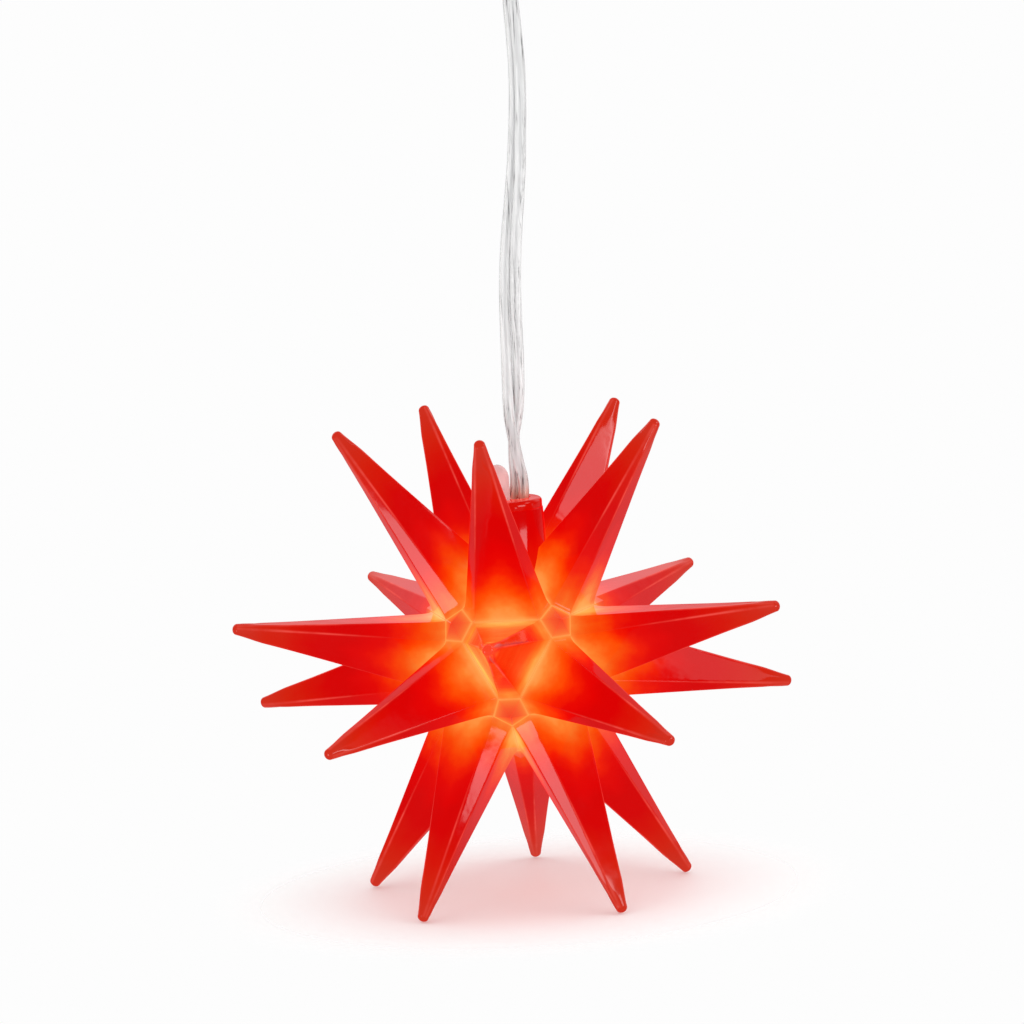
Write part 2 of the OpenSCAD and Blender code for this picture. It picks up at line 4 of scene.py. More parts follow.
import bmesh
import bpy
import numpy as np
from mathutils import Matrix, Vector
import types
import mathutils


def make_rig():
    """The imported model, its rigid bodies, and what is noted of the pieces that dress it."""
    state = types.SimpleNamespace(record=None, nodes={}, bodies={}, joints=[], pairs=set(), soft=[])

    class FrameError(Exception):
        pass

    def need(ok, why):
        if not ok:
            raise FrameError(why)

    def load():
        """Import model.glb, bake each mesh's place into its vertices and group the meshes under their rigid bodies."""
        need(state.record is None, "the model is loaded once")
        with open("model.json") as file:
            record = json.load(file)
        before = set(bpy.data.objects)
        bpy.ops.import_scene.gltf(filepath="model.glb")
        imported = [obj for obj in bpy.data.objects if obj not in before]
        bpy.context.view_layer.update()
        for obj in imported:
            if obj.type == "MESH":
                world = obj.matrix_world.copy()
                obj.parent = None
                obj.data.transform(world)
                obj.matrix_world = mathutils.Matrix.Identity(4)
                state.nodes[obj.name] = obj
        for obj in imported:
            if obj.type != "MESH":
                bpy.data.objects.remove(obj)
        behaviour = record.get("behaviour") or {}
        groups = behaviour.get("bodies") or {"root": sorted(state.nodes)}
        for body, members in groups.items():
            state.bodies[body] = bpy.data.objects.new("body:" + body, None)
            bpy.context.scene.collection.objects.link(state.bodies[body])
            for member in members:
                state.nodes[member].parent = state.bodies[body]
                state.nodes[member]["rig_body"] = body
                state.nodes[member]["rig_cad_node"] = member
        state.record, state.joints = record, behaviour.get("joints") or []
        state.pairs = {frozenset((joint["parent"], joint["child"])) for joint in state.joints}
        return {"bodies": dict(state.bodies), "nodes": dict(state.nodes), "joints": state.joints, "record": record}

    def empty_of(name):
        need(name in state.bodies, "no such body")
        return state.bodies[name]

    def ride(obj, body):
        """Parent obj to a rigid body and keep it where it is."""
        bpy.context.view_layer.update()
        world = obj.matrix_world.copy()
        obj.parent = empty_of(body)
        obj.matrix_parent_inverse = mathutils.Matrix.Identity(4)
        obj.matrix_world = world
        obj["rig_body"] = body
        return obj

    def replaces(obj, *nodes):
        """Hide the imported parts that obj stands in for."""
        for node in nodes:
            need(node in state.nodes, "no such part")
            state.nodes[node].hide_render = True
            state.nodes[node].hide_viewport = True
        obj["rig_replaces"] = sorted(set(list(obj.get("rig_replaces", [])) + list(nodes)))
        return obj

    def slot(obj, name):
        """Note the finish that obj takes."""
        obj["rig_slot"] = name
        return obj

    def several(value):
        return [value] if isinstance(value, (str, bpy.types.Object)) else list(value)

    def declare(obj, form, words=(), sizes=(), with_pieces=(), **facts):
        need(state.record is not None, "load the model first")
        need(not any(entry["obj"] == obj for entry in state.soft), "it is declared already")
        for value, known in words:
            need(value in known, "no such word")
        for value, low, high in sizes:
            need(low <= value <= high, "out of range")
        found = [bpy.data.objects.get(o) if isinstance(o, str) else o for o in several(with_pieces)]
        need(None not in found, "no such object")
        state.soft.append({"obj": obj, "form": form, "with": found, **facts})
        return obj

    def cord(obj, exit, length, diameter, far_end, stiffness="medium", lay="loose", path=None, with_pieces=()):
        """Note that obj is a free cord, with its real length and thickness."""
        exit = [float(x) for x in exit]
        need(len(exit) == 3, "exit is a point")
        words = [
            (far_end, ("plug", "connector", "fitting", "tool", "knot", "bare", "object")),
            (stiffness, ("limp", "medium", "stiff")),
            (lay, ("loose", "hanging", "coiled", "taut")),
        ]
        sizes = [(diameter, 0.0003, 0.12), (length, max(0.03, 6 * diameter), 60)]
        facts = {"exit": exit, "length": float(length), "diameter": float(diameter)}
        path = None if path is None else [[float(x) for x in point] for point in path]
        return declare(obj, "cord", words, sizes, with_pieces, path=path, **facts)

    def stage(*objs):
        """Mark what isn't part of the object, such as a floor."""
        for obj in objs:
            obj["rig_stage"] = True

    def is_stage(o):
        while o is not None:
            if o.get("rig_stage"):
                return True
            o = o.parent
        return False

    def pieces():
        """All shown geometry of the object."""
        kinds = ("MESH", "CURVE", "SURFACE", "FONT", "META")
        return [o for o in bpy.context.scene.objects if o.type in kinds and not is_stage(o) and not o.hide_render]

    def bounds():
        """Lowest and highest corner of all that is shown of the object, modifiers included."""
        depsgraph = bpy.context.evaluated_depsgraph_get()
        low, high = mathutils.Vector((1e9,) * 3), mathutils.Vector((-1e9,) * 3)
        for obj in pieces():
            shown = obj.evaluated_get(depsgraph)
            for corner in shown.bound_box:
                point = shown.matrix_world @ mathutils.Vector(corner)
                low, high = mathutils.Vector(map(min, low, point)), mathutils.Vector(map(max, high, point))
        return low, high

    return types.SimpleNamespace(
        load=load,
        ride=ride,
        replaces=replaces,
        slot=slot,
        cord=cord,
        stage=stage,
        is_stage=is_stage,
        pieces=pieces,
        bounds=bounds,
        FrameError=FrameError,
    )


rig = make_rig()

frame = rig.load()
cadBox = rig.bounds()
mm = 0.001


# Tools for surfaces

# Puts a thing into the scene
def linked(name, data):
    thing = bpy.data.objects.new(name, data)
    bpy.context.scene.collection.objects.link(thing)
    return thing


# Quads between neighbouring rows and columns of a grid of points; columns close round
def gridFaces(rows, columns, loop=False):
    row = np.arange(rows if loop else rows - 1)[:, None] * columns
    column = np.arange(columns)[None, :]
    nextRow, nextColumn = (row + columns) % (rows * columns), (column + 1) % columns
    quads = np.stack([row + column, row + nextColumn, nextRow + nextColumn, nextRow + column], -1)
    return quads.reshape(-1, 4)


# Rings of points, one row each; a pole closes either end with a fan, or the rows close in a loop
def surface(name, rings, first=None, last=None, loop=False, sharp=32):
    rows, columns = rings.shape[:2]
    points, around = rings.reshape(-1, 3), np.arange(columns)
    faces = gridFaces(rows, columns, loop).tolist()
    for pole, start, turn in ((first, 0, -1), (last, (rows - 1) * columns, 1)):
        if pole is not None:
            points = np.vstack([points, pole])
            side = [start + around, start + np.roll(around, -1)][::turn]
            faces += np.stack([np.full(columns, len(points) - 1), *side], -1).tolist()
    return solid(name, points, faces, sharp)


# A mesh in metres from points in millimetres. Six times its volume is the sum of a . (b x c)
# over its triangles; a negative one means that it is inside out, so it is turned
def solid(name, points, faces, sharp=32):
    mesh = bpy.data.meshes.new(name)
    mesh.from_pydata((points * mm).tolist(), [], faces)
    mesh.calc_loop_triangles()
    corners = np.zeros(len(mesh.loop_triangles) * 3, np.int32)
    mesh.loop_triangles.foreach_get("vertices", corners)
    a, b, c = (points[corners.reshape(-1, 3)[:, k]] for k in range(3))
    if (a * np.cross(b, c)).sum() < 0:
        mesh.flip_normals()
    mesh.shade_smooth()
    mesh.set_sharp_from_angle(angle=math.radians(sharp))
    return linked(name, mesh)


# Each corner of an outline gives way to a curve through (1-t)^2 a + 2t(1-t) corner + t^2 b,
# where a and b lie on its two sides, `radius` away or less on a short side
def rounded(outline, radius, closed=True, steps=4):
    here = np.array(outline, float)
    before, after = np.roll(here, 1, 0), np.roll(here, -1, 0)
    backLength = np.linalg.norm(before - here, axis=1, keepdims=True)
    nextLength = np.linalg.norm(after - here, axis=1, keepdims=True)
    cut = np.minimum(radius, 0.45 * np.minimum(backLength, nextLength))
    a = here + (before - here) * cut / backLength
    b = here + (after - here) * cut / nextLength
    t = np.linspace(0, 1, steps)[None, :, None]
    curves = (1 - t) ** 2 * a[:, None] + 2 * t * (1 - t) * here[:, None] + t ** 2 * b[:, None]
    if closed:
        return curves.reshape(-1, 2)
    return np.vstack([here[:1], curves[1:-1].reshape(-1, 2), here[-1:]])


# A profile of (radius, height) turned about an upright axis, so that a point is radius * cos a,
# radius * sin a, height; an open profile starts and ends on the axis
def turned(name, profile, at, columns=96, closed=True):
    turn = np.linspace(0, 2 * np.pi, columns, endpoint=False)
    r, z = profile[:, :1], profile[:, 1:]
    rings = np.stack([r * np.cos(turn), r * np.sin(turn), z + 0 * turn], -1) + at
    if closed:
        return surface(name, rings, loop=True)
    return surface(name, rings[1:-1], rings[0, 0], rings[-1, 0])


# A ring whose section is a box with round edges
def boxRing(name, inner, outer, low, high, edge, at, columns=96):
    section = [(inner, low), (outer, low), (outer, high), (inner, high)]
    return turned(name, rounded(section, edge), at, columns)


# An arc in (radius, height) round a centre on the axis: radius * cos a, height + radius * sin a
def arc(radius, height, start, end, steps=14):
    a = np.radians(np.linspace(start, end, steps))
    return np.stack([radius * np.cos(a), height + radius * np.sin(a)], -1)


# Rings of a tube round a line, each across the line's direction: a point of the line plus
# radius * (cos a * across + sin a * back)
def tubeRings(line, radius, sides):
    way = np.gradient(line, axis=0)
    way /= np.linalg.norm(way, axis=1, keepdims=True)
    across = np.stack([way[:, 2], 0 * way[:, 0], -way[:, 0]], -1)
    across /= np.linalg.norm(across, axis=1, keepdims=True)
    back = np.cross(way, across)
    a = np.linspace(0, 2 * np.pi, sides, endpoint=False)[None, :, None]
    return line[:, None] + radius * (np.cos(a) * across[:, None] + np.sin(a) * back[:, None])


# Copies of CAD meshes: points this close in mm merge. The angles in degrees are those up to
# which faces are flat, and from which edges are bevelled and look sharp
finer = {"mergeWithin": 0.002, "flatWithin": 0.6, "bevelFrom": 35, "sharpFrom": 60}


# A finer copy of a CAD node's mesh: doubles merged, flat areas joined, small edges rounded
def refined(name, node, edge):
    mesh = frame["nodes"][node].data.copy()
    mesh.name = name
    mesh.materials.clear()
    work = bmesh.new()
    work.from_mesh(mesh)
    bmesh.ops.remove_doubles(work, verts=work.verts, dist=finer["mergeWithin"] * mm)
    bmesh.ops.dissolve_limit(work, angle_limit=math.radians(finer["flatWithin"]), verts=work.verts,
                             edges=work.edges)
    work.to_mesh(mesh)
    work.free()
    mesh.shade_smooth()
    mesh.set_sharp_from_angle(angle=math.radians(finer["sharpFrom"]))
    piece = linked(name, mesh)
    bevel = piece.modifiers.new("smallEdges", "BEVEL")
    bevel.width, bevel.segments, bevel.limit_method = edge * mm, 2, "ANGLE"
    bevel.angle_limit = math.radians(finer["bevelFrom"])
    return piece


# Several separate solids become one piece
def joined(name, parts):
    work = bmesh.new()
    for part in parts:
        work.from_mesh(part.data)
        bpy.data.objects.remove(part)
    mesh = bpy.data.meshes.new(name)
    work.to_mesh(mesh)
    work.free()
    return linked(name, mesh)


# Puts a finished piece on its body, in place of its CAD nodes
def fit(piece, material, body, slot, *nodes):
    piece.data.materials.clear()
    piece.data.materials.append(material)
    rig.ride(piece, body)
    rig.replaces(piece, *nodes)
    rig.slot(piece, slot)
    return piece


# Tools for materials

# A colour written as sRGB hex, in linear light
def linear(hexColour):
    c = np.array([int(hexColour[k:k + 2], 16) for k in (1, 3, 5)]) / 255
    c = np.where(c <= 0.04045, c / 12.92, ((c + 0.055) / 1.055) ** 2.4)
    return (*map(float, c), 1.0)


# Gives a socket a link, a colour written as hex, or a value
def put(tree, socket, value):
    if isinstance(value, bpy.types.NodeSocket):
        tree.links.new(value, socket)
    else:
        socket.default_value = linear(value) if isinstance(value, str) else value


# Adds a node with its sockets' inputs and its ramp's stops, and gives one output
def addNode(tree, kind, inputs=None, stops=(), out=0, **settings):
    node = tree.nodes.new("ShaderNode" + kind)
    for name, value in settings.items():
        setattr(node, name, value)
    for socket, value in (inputs or {}).items():
        put(tree, node.inputs[socket], value)
    if stops:
        elements = node.color_ramp.elements
        while len(elements) < len(stops):
            elements.new(1)
        for element, (place, colour) in zip(elements, stops):
            element.position, element.color = place, linear(colour)
    return node.outputs[out] if node.outputs else node


# The colours of the stops, along a value that runs from low to high
def coloursAlong(tree, value, low, high, stops):
    share = addNode(tree, "MapRange", {"Value": value, "From Min": low, "From Max": high})
    return addNode(tree, "ValToRGB", {"Fac": share}, stops)


def newMaterial(name, values):
    material = bpy.data.materials.new(name)
    material.use_nodes = True
    tree = material.node_tree
    shader = next(n for n in tree.nodes if n.type == "BSDF_PRINCIPLED")
    for socket, value in values.items():
        put(tree, shader.inputs[socket], value)
    return material, tree, shader


# Uneven skin of a moulded or drawn surface, from a soft noise of `size` mm
def skin(tree, shader, size, depth, rough, stretch=(1, 1, 1)):
    place = addNode(tree, "TexCoord", out="Object")
    place = addNode(tree, "Mapping", {"Vector": place, "Scale": stretch})
    noise = addNode(tree, "TexNoise", {
        "Vector": place, "Scale": 1 / (size * mm), "Detail": 3.0, "Roughness": 0.5})
    bumpAndGloss(tree, shader, noise, depth, rough)


# A noise lifts the surface by `depth` mm and moves its roughness between two values
def bumpAndGloss(tree, shader, noise, depth, rough):
    bump = addNode(tree, "Bump", {"Height": noise, "Strength": 1.0, "Distance": depth * mm})
    gloss = addNode(tree, "MapRange", {
        "Value": noise, "From Min": 0.3, "From Max": 0.7, "To Min": rough[0], "To Max": rough[1]})
    put(tree, shader.inputs["Normal"], bump)
    put(tree, shader.inputs["Roughness"], gloss)


# A material of one colour, with its skin
def evenMaterial(name, values, *skinValues):
    material, tree, shader = newMaterial(name, values)
    skin(tree, shader, *skinValues)
    return material


# Camera: the photograph's viewing angle, found from the places of eighteen spike tips, in
# degrees and mm

view = {"turn": -5.195, "elevation": 7.902, "roll": 3.293, "distance": 1208.4, "aside": 0.658,
        "above": 29.704, "focalPixels": 5823.35, "imagePixels": 1024, "sensor": 36, "nearest": 10}
starCentre = np.array([0, 0, -172.0])

turn, lift, roll = (math.radians(view[k]) for k in ("turn", "elevation", "roll"))
level = Matrix.Rotation(-turn, 3, "Z")
rightFlat = level @ Vector((1, 0, 0))
forward = level @ Vector((0, math.cos(lift), -math.sin(lift)))
upFlat = level @ Vector((0, math.sin(lift), math.cos(lift)))
right = math.cos(roll) * rightFlat - math.sin(roll) * upFlat
up = math.sin(roll) * rightFlat + math.cos(roll) * upFlat
eye = Vector(starCentre) - view["aside"] * right + view["above"] * up - view["distance"] * forward
camera = linked("camera", bpy.data.cameras.new("camera"))
camera.data.sensor_width = view["sensor"]
camera.data.lens = view["sensor"] * view["focalPixels"] / view["imagePixels"]
camera.data.clip_start = view["nearest"] * mm
facing = Matrix((right, up, -forward)).transposed().to_4x4()
camera.matrix_world = Matrix.Translation(eye * mm) @ facing
bpy.context.scene.camera = camera
bpy.context.scene.view_settings.view_transform = "Standard"
print("camera stands")


# Lead: two clear strands with a bundle of seven tinned wires in each

# Middle line x, y, z, turn of the pair in degrees and half the distance between the strands
leadRoute = np.array([
    [0, 0, -151, 180, 1.7], [0, 0, -148.5, 180, 1.7], [0.2, 0.1, -146, 175, 1.4],
    [0.8, 0.3, -143.6, 168, 1.2], [1.7, 0.5, -141.4, 159, 1.2], [2.5, 0.7, -139.2, 148, 1.2],
    [2.8, 0.9, -137, 139, 1.2], [2.8, 0.9, -134.5, 129, 1.2], [2.5, 0.9, -132, 118, 1.2],
    [2.3, 0.9, -129, 104, 1.2], [2.2, 0.8, -126, 87, 1.2], [2.3, 0.7, -124, 70, 1.2],
    [2.4, 0.6, -122, 52, 1.2], [2.6, 0.5, -119, 33, 1.2], [2.8, 0.4, -115, 15, 1.2],
    [3, 0.2, -108, 1, 1.2], [3.1, 0, -102, -8, 1.2], [3.3, -0.2, -96, -16, 1.2],
    [3.9, -0.4, -88, -25, 1.2], [4.6, -0.5, -82, -31, 1.2], [5.4, -0.6, -76, -37, 1.2],
    [6.1, -0.7, -70, -44, 1.2], [6.6, -0.7, -64, -50, 1.2], [7.1, -0.7, -57, -54, 1.2],
    [7.3, -0.6, -50, -57, 1.2], [7.1, -0.5, -43, -59, 1.2], [6.8, -0.3, -37, -62, 1.2],
    [6.9, -0.1, -32, -70, 1.2], [7.5, 0, -28, -81, 1.2], [7.9, 0, -25.5, -89, 1.2],
    [8, 0, -23.5, -90, 1.2], [8, 0, -8, -90, 1.2]])
strand = {"diameter": 2.3, "sides": 28, "step": 0.7, "wires": 6, "wireRadius": 0.06,
          "wireSpread": 0.13, "wirePitch": 11.0, "wireSides": 8, "streakWidth": 0.42,
          "pinkFrom": -139.5, "pinkTo": -132.0, "exit": (2.2, 0.6, -139.0)}


# A smooth line through the points: between each two, the cubic whose slope at a point is half
# the way from the point before it to the point after it
def smoothLine(points, step):
    padded = np.vstack([2 * points[0] - points[1], points, 2 * points[-1] - points[-2]])
    lengths = np.linalg.norm(np.diff(points, axis=0), axis=1)
    place = np.concatenate([[0], np.cumsum(lengths)])
    wanted = np.linspace(0, place[-1], int(round(place[-1] / step)) + 1)
    k = np.clip(np.searchsorted(place, wanted, side="right") - 1, 0, len(lengths) - 1)
    t = ((wanted - place[k]) / lengths[k])[:, None]
    p0, p1, p2, p3 = (padded[k + n] for n in range(4))
    return 0.5 * (2 * p1 + (p2 - p0) * t + (2 * p0 - 5 * p1 + 4 * p2 - p3) * t ** 2
                  + (3 * p1 - p0 - 3 * p2 + p3) * t ** 3)


# One side of the route: the middle line plus half the distance along the pair's direction
def strandLine(side):
    a = np.radians(leadRoute[:, 3])
    along = np.stack([np.cos(a), np.sin(a), 0 * a], -1)
    return smoothLine(leadRoute[:, :3] + side * leadRoute[:, 4:] * along, strand["step"])


# Six wires wind round a seventh, each a tube of its own; their angle is 2 pi times the way
# along the line over the pitch
def wireBundle(name, line):
    inner = line[2:-2]
    travelled = np.concatenate([[0], np.cumsum(np.linalg.norm(np.diff(inner, axis=0), axis=1))])
    turnNow = 2 * np.pi * travelled / strand["wirePitch"]
    points, faces, used = [], [], 0
    for wire in range(strand["wires"] + 1):
        a = turnNow + wire * 2 * np.pi / strand["wires"]
        spread = strand["wireSpread"] if wire < strand["wires"] else 0
        middle = inner + spread * np.stack([np.cos(a), np.sin(a), 0 * a], -1)
        rings = tubeRings(middle, strand["wireRadius"], strand["wireSides"])
        rows, columns = rings.shape[:2]
        start = used + np.arange(columns)
        faces += (used + gridFaces(rows, columns)).tolist()
        faces += [start[::-1].tolist(), (start + (rows - 1) * columns).tolist()]
        points.append(rings.reshape(-1, 3))
        used += rows * columns
    return solid(name, np.vstack(points), faces, 60)


# Soft clear PVC, drawn over the wires: a little cloudy, with grey and white streaks along it,
# which are painted dark lines and painted highlights. A painted pink glow of the lamp's light
# colours it where it leaves the cap
leadPvc, tree, shader = newMaterial("clearDrawnPvc", {"IOR": 1.53, "Transmission Weight": 0.5})
skin(tree, shader, 1.2, 0.02, (0.08, 0.22), (1, 1, 0.08))
place = addNode(tree, "TexCoord", out="Object")
drawn = addNode(tree, "Mapping", {"Vector": place, "Scale": (1, 1, 0.022)})
streak = addNode(tree, "TexNoise", {
    "Vector": drawn, "Scale": 1 / (strand["streakWidth"] * mm), "Detail": 3.0, "Roughness": 0.62})
# Painted highlights and painted dark lines, as streaks along the strand
paintedStreakLight = addNode(tree, "ValToRGB", {"Fac": streak}, [
    (0.33, "#7C7C7C"), (0.38, "#D2D2D2"), (0.45, "#F0F0F0"), (0.56, "#F6F6F6"), (0.62, "#FFFFFF")])
overCap = addNode(tree, "MapRange", {
    "Value": addNode(tree, "SeparateXYZ", {0: place}, out="Z"), "From Min": strand["pinkFrom"] * mm,
    "From Max": strand["pinkTo"] * mm}, interpolation_type="SMOOTHSTEP")
# A painted pink glow of the lamp's light, over the cap
paintedCapGlow = addNode(tree, "ValToRGB", {"Fac": overCap}, [
    (0.0, "#FFC0A8"), (0.35, "#FAEBE5"), (1.0, "#FFFFFF")])
streakLightAndCapGlow = addNode(tree, "Mix", {"Factor": 1.0, 6: paintedStreakLight, 7: paintedCapGlow}, out=2, data_type="RGBA",
                 blend_type="MULTIPLY")
put(tree, shader.inputs["Base Color"], streakLightAndCapGlow)

# Tinned copper wire, drawn: a soft grey metal with an uneven gloss
tinnedWire = evenMaterial("tinnedWire", {"Metallic": 1.0, "Base Color": "#DADCDE"},
                          0.5, 0.002, (0.28, 0.42))

strands = []
for letter, side in (("a", 1), ("b", -1)):
    line, name = strandLine(side), "lead_" + letter
    piece = surface(name + "_strand", tubeRings(line, strand["diameter"] / 2, strand["sides"]),
                    line[0], line[-1], sharp=60)
    strands.append((fit(piece, leadPvc, "suspension", "lead_pvc", name), line))
    wires = wireBundle(name + "_wires", line)
    wires.data.materials.append(tinnedWire)
    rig.ride(wires, "suspension")
    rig.slot(wires, "leg_tin")
print("lead runs")


# Coupling: plug body with the hanging eye, nut, pins, seal and boot

coupling = {"x": 8.0, "nutFoot": 4.6, "nutTop": 16.9, "nutRadius": 6.25, "threadRadius": 5.3,
            "collarTop": 5.8, "collarRadius": 4.5, "ribs": 18, "ribHeight": 0.35, "ribColumns": 18,
            "threadPitch": 1.5, "threadDepth": 0.16, "shoulderTop": 7.1, "sealIn": 3.65,
            "sealOut": 4.55, "sealHeight": 1.0, "pinRadius": 0.5, "pinY": 1.3, "pinFoot": -8.0,
            "pinTop": 13.5}
boot = {"foot": -24.0, "top": -12.0, "footRadius": 3.1, "topRadius": 4.0, "grooves": 3,
        "grooveDepth": 0.4, "strandHalf": 1.2, "strandRadius": 1.2}

# Light spreads about 1.2 mm inside the milky plastics
milky = {"Subsurface Radius": (0.6, 0.6, 0.55), "Subsurface Scale": 0.002}

# Clear polypropylene, injection moulded: cloudy, waxy gloss, faint flow marks
cloudyPp = evenMaterial("cloudyMouldedPolypropylene", {
    "IOR": 1.49, "Transmission Weight": 0.35, "Base Color": "#D6D8D6", "Subsurface Weight": 0.25,
    **milky}, 2.5, 0.012, (0.2, 0.36))

# The nut is the same plastic, but thicker and so less clear
whitePp = evenMaterial("whiteMouldedPolypropylene", {
    "IOR": 1.49, "Transmission Weight": 0.12, "Base Color": "#C6C8C8", "Subsurface Weight": 0.3,
    **milky}, 3.0, 0.012, (0.26, 0.42))

# Soft PVC of the boot, moulded on the lead: milky, satin
softPvc = evenMaterial("milkyMouldedPvc", {
    "IOR": 1.53, "Transmission Weight": 0.3, "Base Color": "#CDD0D2", "Subsurface Weight": 0.3,
    **milky, "Subsurface Radius": (0.6, 0.6, 0.6)}, 0.8, 0.012, (0.34, 0.5))

# Silicone rubber: grey, matt, slightly dusty
greySilicone = evenMaterial("greySilicone", {
    "IOR": 1.41, "Base Color": "#BDBFC2", "Specular IOR Level": 0.35}, 0.5, 0.01, (0.5, 0.65))

# Brass pins, turned: lines round them, coarser than real ones so that they show
turnedBrass = evenMaterial("turnedBrass", {"Metallic": 1.0, "Base Color": "#D2AC5A"},
                           0.7, 0.003, (0.18, 0.32), (0.2, 0.2, 6))

body = fit(refined("coupling_plug_body", "coupling_body", 0.18), cloudyPp, "suspension",
           "coupling_plastic", "coupling_body")


# Radius of the nut's outside at an angle: its own, or that of the round rib there, where a
# circle of radius w round a centre c out lies c cos d + sqrt(w^2 - (c sin d)^2) away
def ribbedRadius(turn, ribsShow):
    width, out = 2 * coupling["ribHeight"], coupling["nutRadius"] - coupling["ribHeight"]
    step = 2 * np.pi / coupling["ribs"]
    d = (turn + step / 2) % step - step / 2
    far = out * np.cos(d) + np.sqrt(np.maximum(width ** 2 - (out * np.sin(d)) ** 2, 0))
    rib = np.where(out * np.abs(np.sin(d)) < width, far, 0)
    return coupling["nutRadius"] + ribsShow * np.maximum(rib - coupling["nutRadius"], 0)


# Rows go up the ribbed outside, over the rim and down the threaded inside. Each row of outside
# has a height, what it adds to the radius and how far the ribs show; the thread's radius falls
# by its depth times half of 1 + cos(2 pi height / pitch - angle)
def ribbedNut():
    c = coupling
    turn = np.linspace(0, 2 * np.pi, c["ribs"] * c["ribColumns"], endpoint=False)[None, :]
    low, high, soft = c["nutFoot"], c["nutTop"], 0.3
    outside = np.array([(low, -soft, 0), (low + 0.08, -0.1, 0), (low + soft, 0, 0), (low + 1, 0, 0),
                        (low + 1.12, 0, 0.7), (low + 1.3, 0, 1), (low + 3, 0, 1), (high - 3, 0, 1),
                        (high - 1.3, 0, 1), (high - 1.12, 0, 0.7), (high - 1, 0, 0),
                        (high - soft, 0, 0), (high - 0.08, -0.1, 0), (high, -soft, 0)])
    outer = ribbedRadius(turn, outside[:, 2:]) + outside[:, 1:2]
    height = np.linspace(high - soft, c["collarTop"] + 0.02, 90)[:, None]
    wave = 0.5 + 0.5 * np.cos(2 * np.pi * height / c["threadPitch"] - turn)
    fade = np.clip((high - 0.9 - height) / 0.8, 0, 1)
    threaded = c["threadRadius"] - c["threadDepth"] * wave * fade
    inner = [(c["threadRadius"] + 0.18, high), (c["threadRadius"], high - 0.2)]
    collar = [(c["collarRadius"] + 0.15, c["collarTop"]), (c["collarRadius"], c["collarTop"] - 0.15),
              (c["collarRadius"], low + 0.15), (c["collarRadius"] + 0.15, low)]
    parts = [(outer, outside[:, :1]), *inner, (threaded, height), *collar]
    r, z = (np.vstack([part[k] + 0 * turn for part in parts]) for k in (0, 1))
    rings = np.stack([c["x"] + r * np.cos(turn), r * np.sin(turn), z], -1)
    return surface("coupling_ribbed_nut", rings, loop=True, sharp=40)


fit(ribbedNut(), whitePp, "nut", "nut_plastic", "coupling_nut")
fit(boxRing("coupling_seal_ring", coupling["sealIn"], coupling["sealOut"], 0, coupling["sealHeight"],
            0.3, (coupling["x"], 0, coupling["shoulderTop"])),
    greySilicone, "suspension", "seal_rubber", "coupling_seal")


# Two pins with round ends, each a turned profile
def twoPins():
    c = coupling
    profile = np.vstack([
        [(0, c["pinFoot"]), (c["pinRadius"] * 0.8, c["pinFoot"]), (c["pinRadius"], c["pinFoot"] + 0.1)],
        arc(c["pinRadius"], c["pinTop"], 0, 89, 8), [(0, c["pinTop"] + c["pinRadius"])]])
    return joined("coupling_contact_pins", [
        turned("pin", profile, (c["x"], side * c["pinY"], 0), 32, closed=False) for side in (-1, 1)])


pins = fit(twoPins(), turnedBrass, "suspension", "pin_brass", "contact_pins")


# A cone with an opening for the two strands and rounded grooves, each a dip of
# depth / (1 + exp(distance past the groove's edge / 0.06)). The opening is a slot with round
# ends: r = w / |cos a| on its flats, h sin a + sqrt(w^2 - (h cos a)^2) beyond
def groovedBoot():
    b, foot, top = boot, boot["foot"], boot["top"]
    turn = np.linspace(0, 2 * np.pi, 96, endpoint=False)[None, :]
    height = np.linspace(foot + 0.25, top, 120)[:, None]
    pitch = (top - foot) / (b["grooves"] + 1)
    cone = b["footRadius"] + (b["topRadius"] - b["footRadius"]) * (height - foot) / (top - foot)
    beside = np.min([np.abs(height - foot - g * pitch - pitch / 6)
                     for g in range(1, b["grooves"] + 1)], axis=0)
    dip = b["grooveDepth"] / (1 + np.exp((beside - pitch / 6) / 0.06))
    outer = cone - dip + 0 * turn
    side, flat = np.abs(np.sin(turn)), np.abs(np.cos(turn))
    w, h = b["strandRadius"], b["strandHalf"]
    far = h * side + np.sqrt(np.maximum(w ** 2 - (h * flat) ** 2, 0))
    slot = np.where(w * side <= h * flat, w / np.maximum(flat, 0.01), far)
    r = np.vstack([slot + 0.12, outer[:1] - 0.25, outer[:1] - 0.07, outer, slot, slot])
    z = np.concatenate([[foot, foot, foot + 0.07], height[:, 0], [top, foot + 0.12]])
    rings = np.stack([coupling["x"] + r * np.cos(turn), r * np.sin(turn), z[:, None] + 0 * turn], -1)
    return surface("lead_strain_boot", rings, loop=True, sharp=40)


strainBoot = fit(groovedBoot(), softPvc, "suspension", "boot_pvc", "cable_boot")

for piece, line in strands:
    travelled = np.linalg.norm(np.diff(line, axis=0), axis=1).sum()
    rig.cord(piece, exit=tuple(k * mm for k in strand["exit"]), length=round(float(travelled) * mm, 4),
            diameter=strand["diameter"] * mm, far_end="connector", stiffness="medium",
            lay="hanging", path=(line * mm).tolist(), with_pieces=[body, strainBoot, pins])
print("coupling stands")


# Star: twenty hollow spikes on the core

core = {"radius": 21.8, "cornerSide": 4.6, "wall": 1.1, "jointGap": 0.06, "seam": 0.1}
spikes = {"reach": 60.0, "endExtra": 0.5, "noseRadius": 0.9, "endLean": 35.4, "sideLean": 79.5,
          "topTwist": -2.6, "bottomTwist": 2.0, "sideHeight": 40.8, "footInset": 0.4,
          "footCurve": 0.8, "footEdge": 0.3, "tipEdge": 0.5, "hollowEdge": 0.3, "softFrom": 0.86,
          "roundNose": 1.1, "fullness": 0.09, "fullAt": 0.9, "fullOver": 0.12, "endLight": 0.06,
          "endLength": 6, "clearEnd": "spike_upper_1"}  # the front one, whose end lets the lamp through

